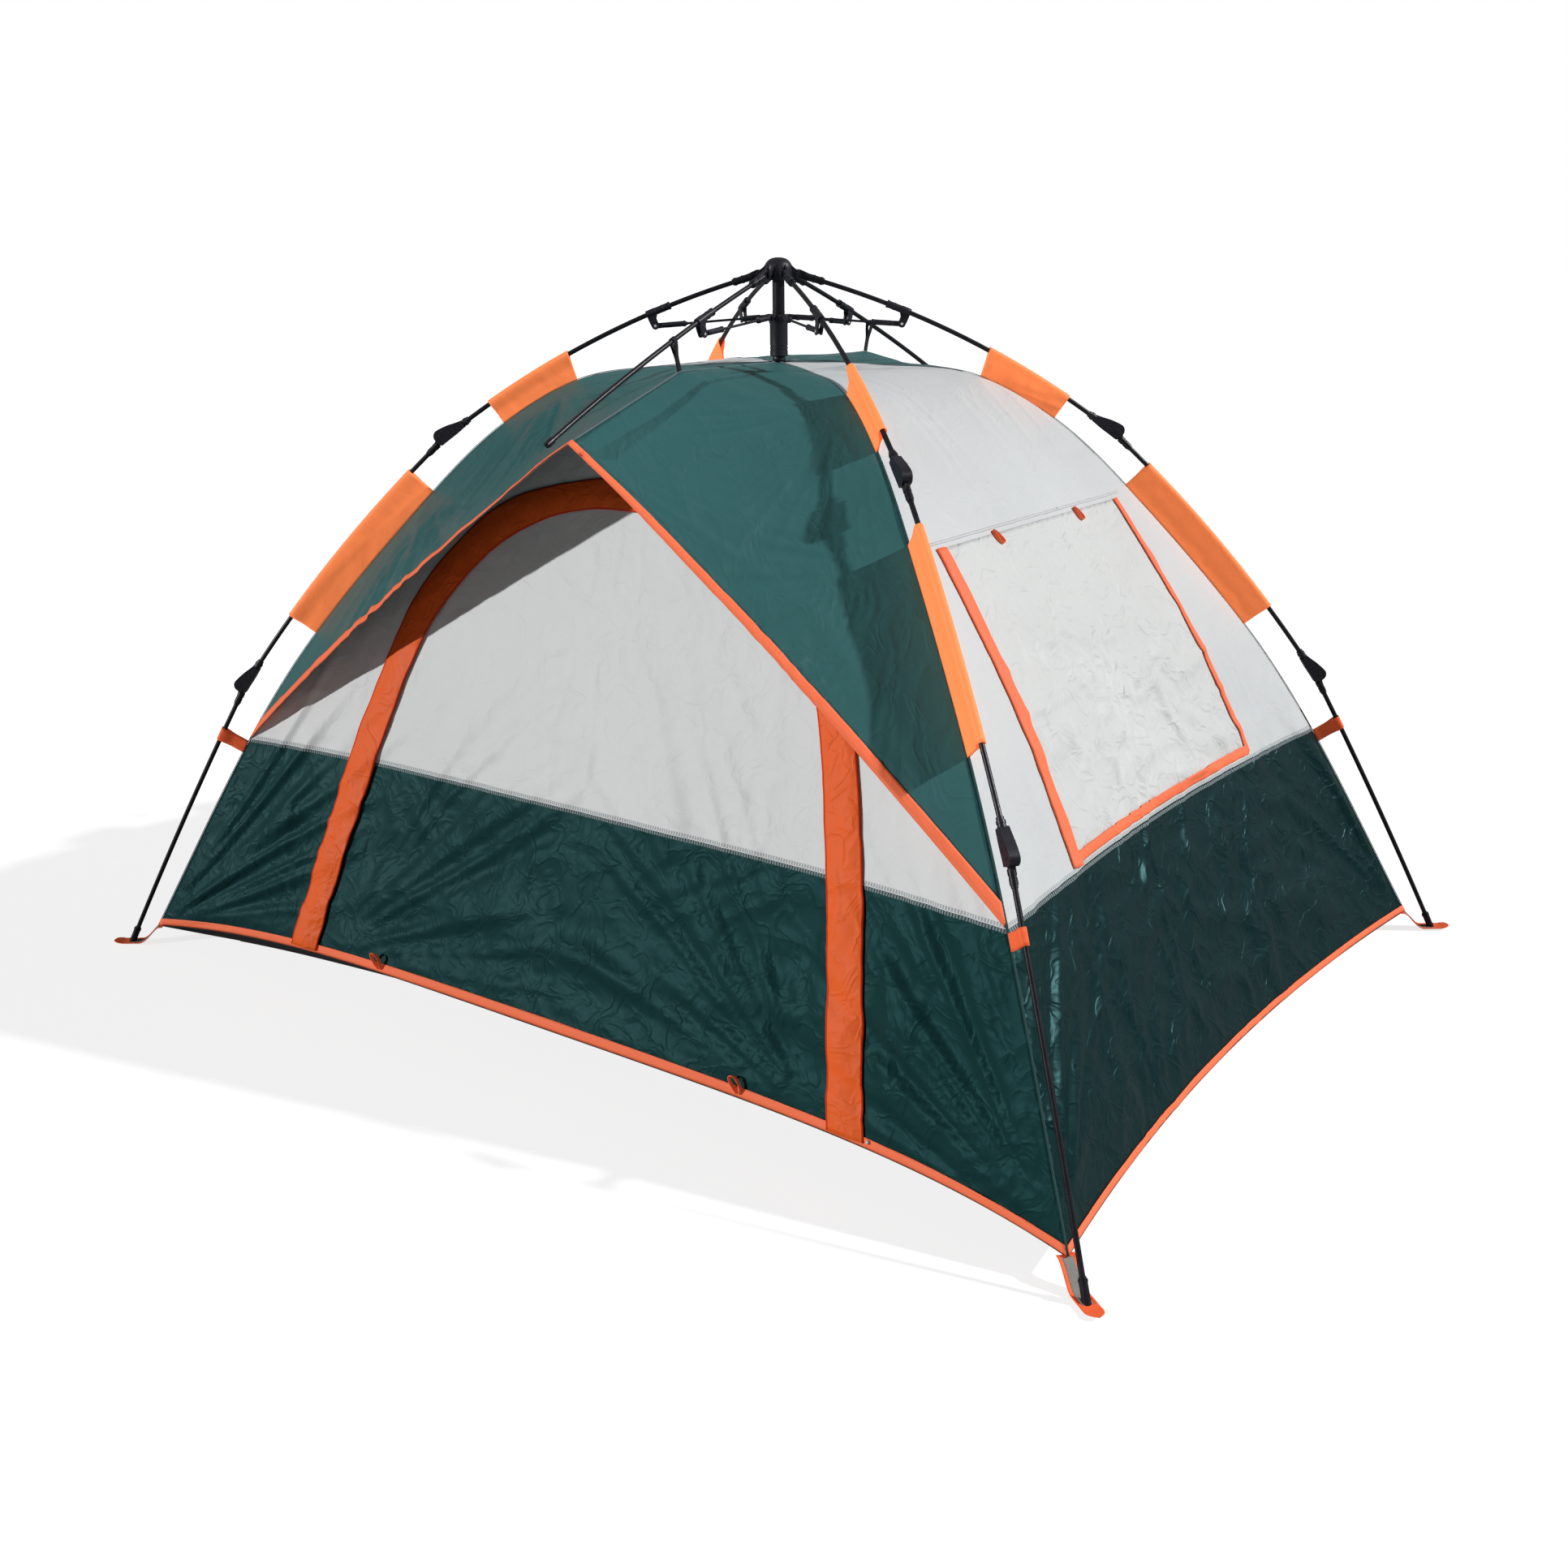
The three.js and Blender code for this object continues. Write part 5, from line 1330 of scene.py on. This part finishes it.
for name, spin, seed in (("right", 0.0, 5.0), ("left", math.pi, 63.0)):
    folds = side_folds_for(seed)
    bm = panel(side_surface, 160, 170, [above_band, off_window])
    flap = part_of(bm, side_surface, lambda p: off_window(p) < 0)
    screen = part_of(bm, side_surface, lambda p: off_window(p) < 0)
    side = part_of(bm, side_surface, lambda p: off_window(p) > 0)
    bm.free()
    side = sew(side, "side_cloth_" + name, "shell", [side_green_painted_darker, side_cream_painted_darker], side_surface, folds, side_flat,
               cloth_thickness, spin, ["side_" + name], second=lambda p, u: above_band(p) > 0)
    flap = sew(flap, "window_cloth_" + name, "window_" + name, [window_cream_painted_darker], side_surface, folds, side_flat,
               cloth_thickness, spin, ["window_flap_" + name])
    screen = sew(screen, "window_net_" + name, "shell", [net_black], side_surface, net_sag, side_flat,
                 0.3 * mm, spin, ["window_screen_" + name])

    def window_strip(start, end, width, lift, wave_seed):
        """A strip over one edge of the window, sewn along one side and lifted at the other."""
        def point(s, t):
            y, z = mix(start[0], end[0], t), mix(start[1], end[1], t)
            along = Vector((end[0] - start[0], end[1] - start[1])).normalized()
            y, z = y - along.y * s * width / 2, z + along.x * s * width / 2
            place, normal = draped(side_surface, folds, *side_place(y, z))
            wave = noise.noise(Vector((t * 11, s, wave_seed)))
            return place + normal * (1.6 * mm + (1 - s * s) * 1.2 * mm + (s + 1) / 2 * (lift + wave * 1.6 * mm))
        return point
    low_y, top_y = window_bottom_half, window_top_half
    front_top, front_foot = (-top_y - 8 * mm, window_top), (-low_y - 8 * mm, window_bottom - 12 * mm)
    back_top, back_foot = (top_y + 2 * mm, window_top), (low_y + 2 * mm, window_bottom - 6 * mm)
    foot_front, foot_back = (-low_y - 10 * mm, window_bottom - 2 * mm), (low_y + 4 * mm, window_bottom - 2 * mm)
    strips = {
        "front": window_strip(front_top, front_foot, 22 * mm, 3 * mm, seed),
        "back": window_strip(back_top, back_foot, 12 * mm, 1 * mm, seed + 1),
        "bottom": window_strip(foot_front, foot_back, 15 * mm, 1 * mm, seed + 2),
    }
    for edge, point in strips.items():
        strip("window_strip_%s_%s" % (edge, name), "shell", binding_orange_painted_glow, point, 6, 90, 0.7 * mm,
                             spin, size=(0.02, 0.5))

    def top_seam(s, t):
        """A narrow felled seam over the flap's hinge."""
        y = mix(-seam_half, seam_half, t)
        place, normal = draped(side_surface, folds, *side_place(y, seam_height - s * 1.8 * mm))
        return place + normal * (1.3 - 0.6 * abs(s)) * mm
    strip("window_seam_" + name, "shell", side_cream_painted_darker, top_seam, 2, 70, 0.6 * mm, spin,
                         size=(0.004, 0.64))

    for mark, y_root in (("front", -toggle_along), ("back", toggle_along)):
        def toggle(s, t):
            """A rolled loop of tape that holds the rolled flap, hanging from the seam."""
            root, normal = draped(side_surface, folds, *side_place(y_root, toggle_height))
            down = (side_surface(0, 0.4) - side_surface(0, 0.45)).normalized()
            angle = 2 * math.pi * t
            length = 13 * mm * (1 - math.cos(angle))
            wide = 5.5 * mm * math.sin(angle) * (0.5 + length / 0.026)
            along = Vector((0, 1, 0))
            return (root + down * length + along * (wide + length * 0.35)
                    + normal * (3.2 * mm + s * 3.2 * mm + 1.5 * mm * math.sin(angle / 2)))
        strip("window_toggle_%s_%s" % (mark, name), "shell", binding_orange_painted_glow, toggle, 4, 28, 0.9 * mm,
                             spin, size=(0.007, 0.06))

    def hem(s, t):
        """The binding folded over the side's lower edge."""
        u = -1 + 2 * t
        height = (8 * mm if s > 0 else 6 * mm) * abs(s)
        point, normal = draped(side_surface, folds, u, height / side_length)
        return point + normal * ((1 if s > 0 else -1) * min(1, abs(s) * 5) * 1.2 * mm)
    strip("side_hem_binding_" + name, "shell", binding_orange_painted_glow, hem, 8, 180, 0.7 * mm, spin,
                         size=(0.016, 1.5))


# Sleeves of orange cloth hold the poles: each is a band folded round the rod and sewn into the seam.

# Painted light: the sleeves glow in their own colour, more strongly than any other cloth.
sleeve_orange_painted_glow = painted_glow_cloth("sleeve_orange_painted_glow", dye(255, 136, 78), 0.3, 0.8, 0.45, 0.25, 0.42)


wrap_radius = 5.8 * mm


@lru_cache(maxsize=None)
def nearest_seam(x, z):
    """The place on the leg's seam that is nearest to a point of its pole."""
    best = min(range(401), key=lambda i: (seam(hem_radius * i / 400) - Vector((x, 0, z))).length)
    return seam(hem_radius * best / 400)


def sleeve_round(line, start, length, seed):
    """Cloth folded round the pole, its two halves meeting in the seam, and how wide it is laid flat."""
    rows, round_part = 40, 0.24
    stations = []
    for i in range(rows + 1):
        hold = line.at(start + length * i / rows)
        stations.append((hold, nearest_seam(round(hold.x, 5), round(hold.z, 5))))

    def point(s, t):
        place = min(t * rows, rows - 1e-6)
        i = int(place)
        hold = stations[i][0].lerp(stations[i + 1][0], place - i)
        root = stations[i][1].lerp(stations[i + 1][1], place - i)
        away = (hold - root).normalized()
        gap = (hold - root).length
        if abs(s) < round_part:
            angle = s / round_part * math.pi / 2
            return hold + away * math.cos(angle) * wrap_radius + Vector((0, math.sin(angle) * wrap_radius, 0))
        share = (abs(s) - round_part) / (1 - round_part)
        wave = noise.noise(Vector((t * length * 60, share * 1.6, seed)))
        wide = mix(wrap_radius, 1.1 * mm, ramp(0, 0.55, share)) + 1.1 * mm * wave * math.sin(math.pi * share)
        sway = 1.6 * mm * noise.noise(Vector((t * length * 22, share, seed + 9))) * math.sin(math.pi * share)
        middle = hold - away * gap * share
        return Vector((middle.x, math.copysign(wide, s) + sway, middle.z))
    mean_gap = sum((hold - root).length for hold, root in stations) / len(stations)
    return point, 2 * mean_gap + math.pi * wrap_radius


for name, azimuth in corners.items():
    for label, line, start, length in (("upper", upper_pole, 0.356, 0.162), ("lower", middle_pole, 0.082, 0.346)):
        seed = azimuth * 3 + start * 10
        point, wide = sleeve_round(line, start, length, seed)
        sleeve = strip("sleeve_cloth_%s_%s" % (label, name), "shell", sleeve_orange_painted_glow, point, 36, 60, 0.7 * mm, azimuth,
                       ["sleeve_%s_%s" % (label, name)], size=(wide, length))


# Orange webbing from the canopy's corner seam is wrapped round each lower pole.

strap_at = 0.103
strap_round = 0.35
# Painted light: the orange webbing glows a little in its own colour.
webbing_orange_painted_glow = painted_glow_cloth("webbing_orange_painted_glow", dye(246, 104, 58), 0.0, 3.0, 0.55, 0.2, 0.10)


def corner_wrap(s, t):
    """Webbing from the seam round the lower pole and back."""
    hold = lower_pole.at(strap_at)
    _, down, outward = lower_pole.aim(strap_at)
    root = nearest_seam(round(hold.x, 5), round(hold.z, 5))
    away = (hold - root).normalized()
    turn = 2 * t - 1
    if abs(turn) < strap_round:
        angle = turn / strap_round * math.pi / 2
        middle = hold + away * math.cos(angle) * wrap_radius + Vector((0, math.sin(angle) * wrap_radius, 0))
    else:
        share = (abs(turn) - strap_round) / (1 - strap_round)
        middle = hold.lerp(root, share)
        middle.y = math.copysign(mix(wrap_radius, 1.0 * mm, ramp(0, 0.5, share)), turn)
    return middle + down * s * 12.5 * mm


for name, azimuth in corners.items():
    strip("corner_webbing_" + name, "shell", webbing_orange_painted_glow, corner_wrap, 4, 40, 1.2 * mm, azimuth,
          size=(0.025, 0.09))


# The groundsheet is black coated cloth with a low upturned rim, sewn inside the hem.
# At each corner an orange tab with a grey webbing patch runs out to the pole's foot and is pegged there.

sheet_black = cloth_finish("sheet_black", dye(24, 25, 30), 0.8, 1.0, 0.4, 0.3)
patch_grey = cloth_finish("patch_grey", dye(140, 138, 134), 0.0, 6.0, 0.7, 0.1)

inset_front, inset_side, inset_corner = 0.120, 0.150, 0.150


def floor_edge(hem, inset, u):
    """The floor's fold under a hem, drawn in by inset in the middle and by the corner's own at its ends."""
    point = hem(u)
    draw = mix(inset, inset_corner, abs(u) ** 4)
    flat = Vector((point.x, point.y, 0))
    return flat - flat.normalized() * draw


def side_hem(u):
    """The side's lower edge."""
    return side_point(hem_radius, u)


for name, hem, inset, spin, seed in (("front", wall_hem, inset_front, 0.0, 6.4),
                                     ("back", wall_hem, inset_front, math.pi, 8.4),
                                     ("right", side_hem, inset_side, 0.0, 4.0),
                                     ("left", side_hem, inset_side, math.pi, 2.0)):
    def rim(u, t):
        """The upturned rim, from the floor's fold up to the hem."""
        low, high = floor_edge(hem, inset, u), hem(u)
        low.z = 1.6 * mm
        high.z -= 2.5 * mm
        belly = Vector((high.x - low.x, high.y - low.y, 0)).normalized() * 0.006 * math.sin(math.pi * t)
        return low.lerp(high, t) + belly * noise.noise(Vector((u * 9, t, seed)))
    strip("floor_rim_" + name, "shell", sheet_black, rim, 90, 6, 0.7 * mm, spin, size=(1.9, 0.08))


def floor_half(u, v):
    """The floor as a grid from the left rim to the right one, v from front to back."""
    front = floor_edge(wall_hem, inset_front, u)
    rear = -floor_edge(wall_hem, inset_front, -u)
    point = front.lerp(rear, v)
    edge = floor_edge(side_hem, inset_side, 2 * v - 1)
    full = floor_edge(wall_hem, inset_front, 1).x
    point.x += math.copysign(1, u) * abs(u) ** 4 * (edge.x - full)
    point.z = 1.9 * mm + 0.4 * mm * noise.noise(Vector((point.x * 9, point.y * 9, 3)))
    return point


ground = strip("floor_cloth", "shell", sheet_black, floor_half, 120, 90, 1.2 * mm, 0.0, ["groundsheet"],
               size=(1.9, 1.3))


def tab_height(reach):
    """From the hem's corner down to just above the ground."""
    return mix(0.034, 2.2 * mm, ramp(1.182, 1.226, reach))


for name, azimuth in corners.items():
    def tab(s, t):
        """From the hem's corner down to the ground and out past the foot, with a round end."""
        reach = mix(1.180, 1.2769, t)
        rounded = math.sqrt(max(1 - max((reach - 1.262) / 0.015, 0) ** 2, 0.03))
        curl = 3 * mm * ramp(1.255, 1.277, reach)
        return Vector((reach, s * 13 * mm * rounded, tab_height(reach) + curl + 1.4 * mm * abs(s) ** 3))
    strip("foot_tab_" + name, "shell", webbing_orange_painted_glow, tab, 12, 40, 1.6 * mm, azimuth,
          size=(0.026, 0.11))

    def patch(s, t):
        """The webbing patch on top of the tab."""
        reach = mix(1.186, 1.246, t)
        return Vector((reach, s * 7.5 * mm, tab_height(reach) + 1.5 * mm))
    strip("foot_patch_" + name, "shell", patch_grey, patch, 8, 30, 1.0 * mm, azimuth,
          size=(0.015, 0.07))
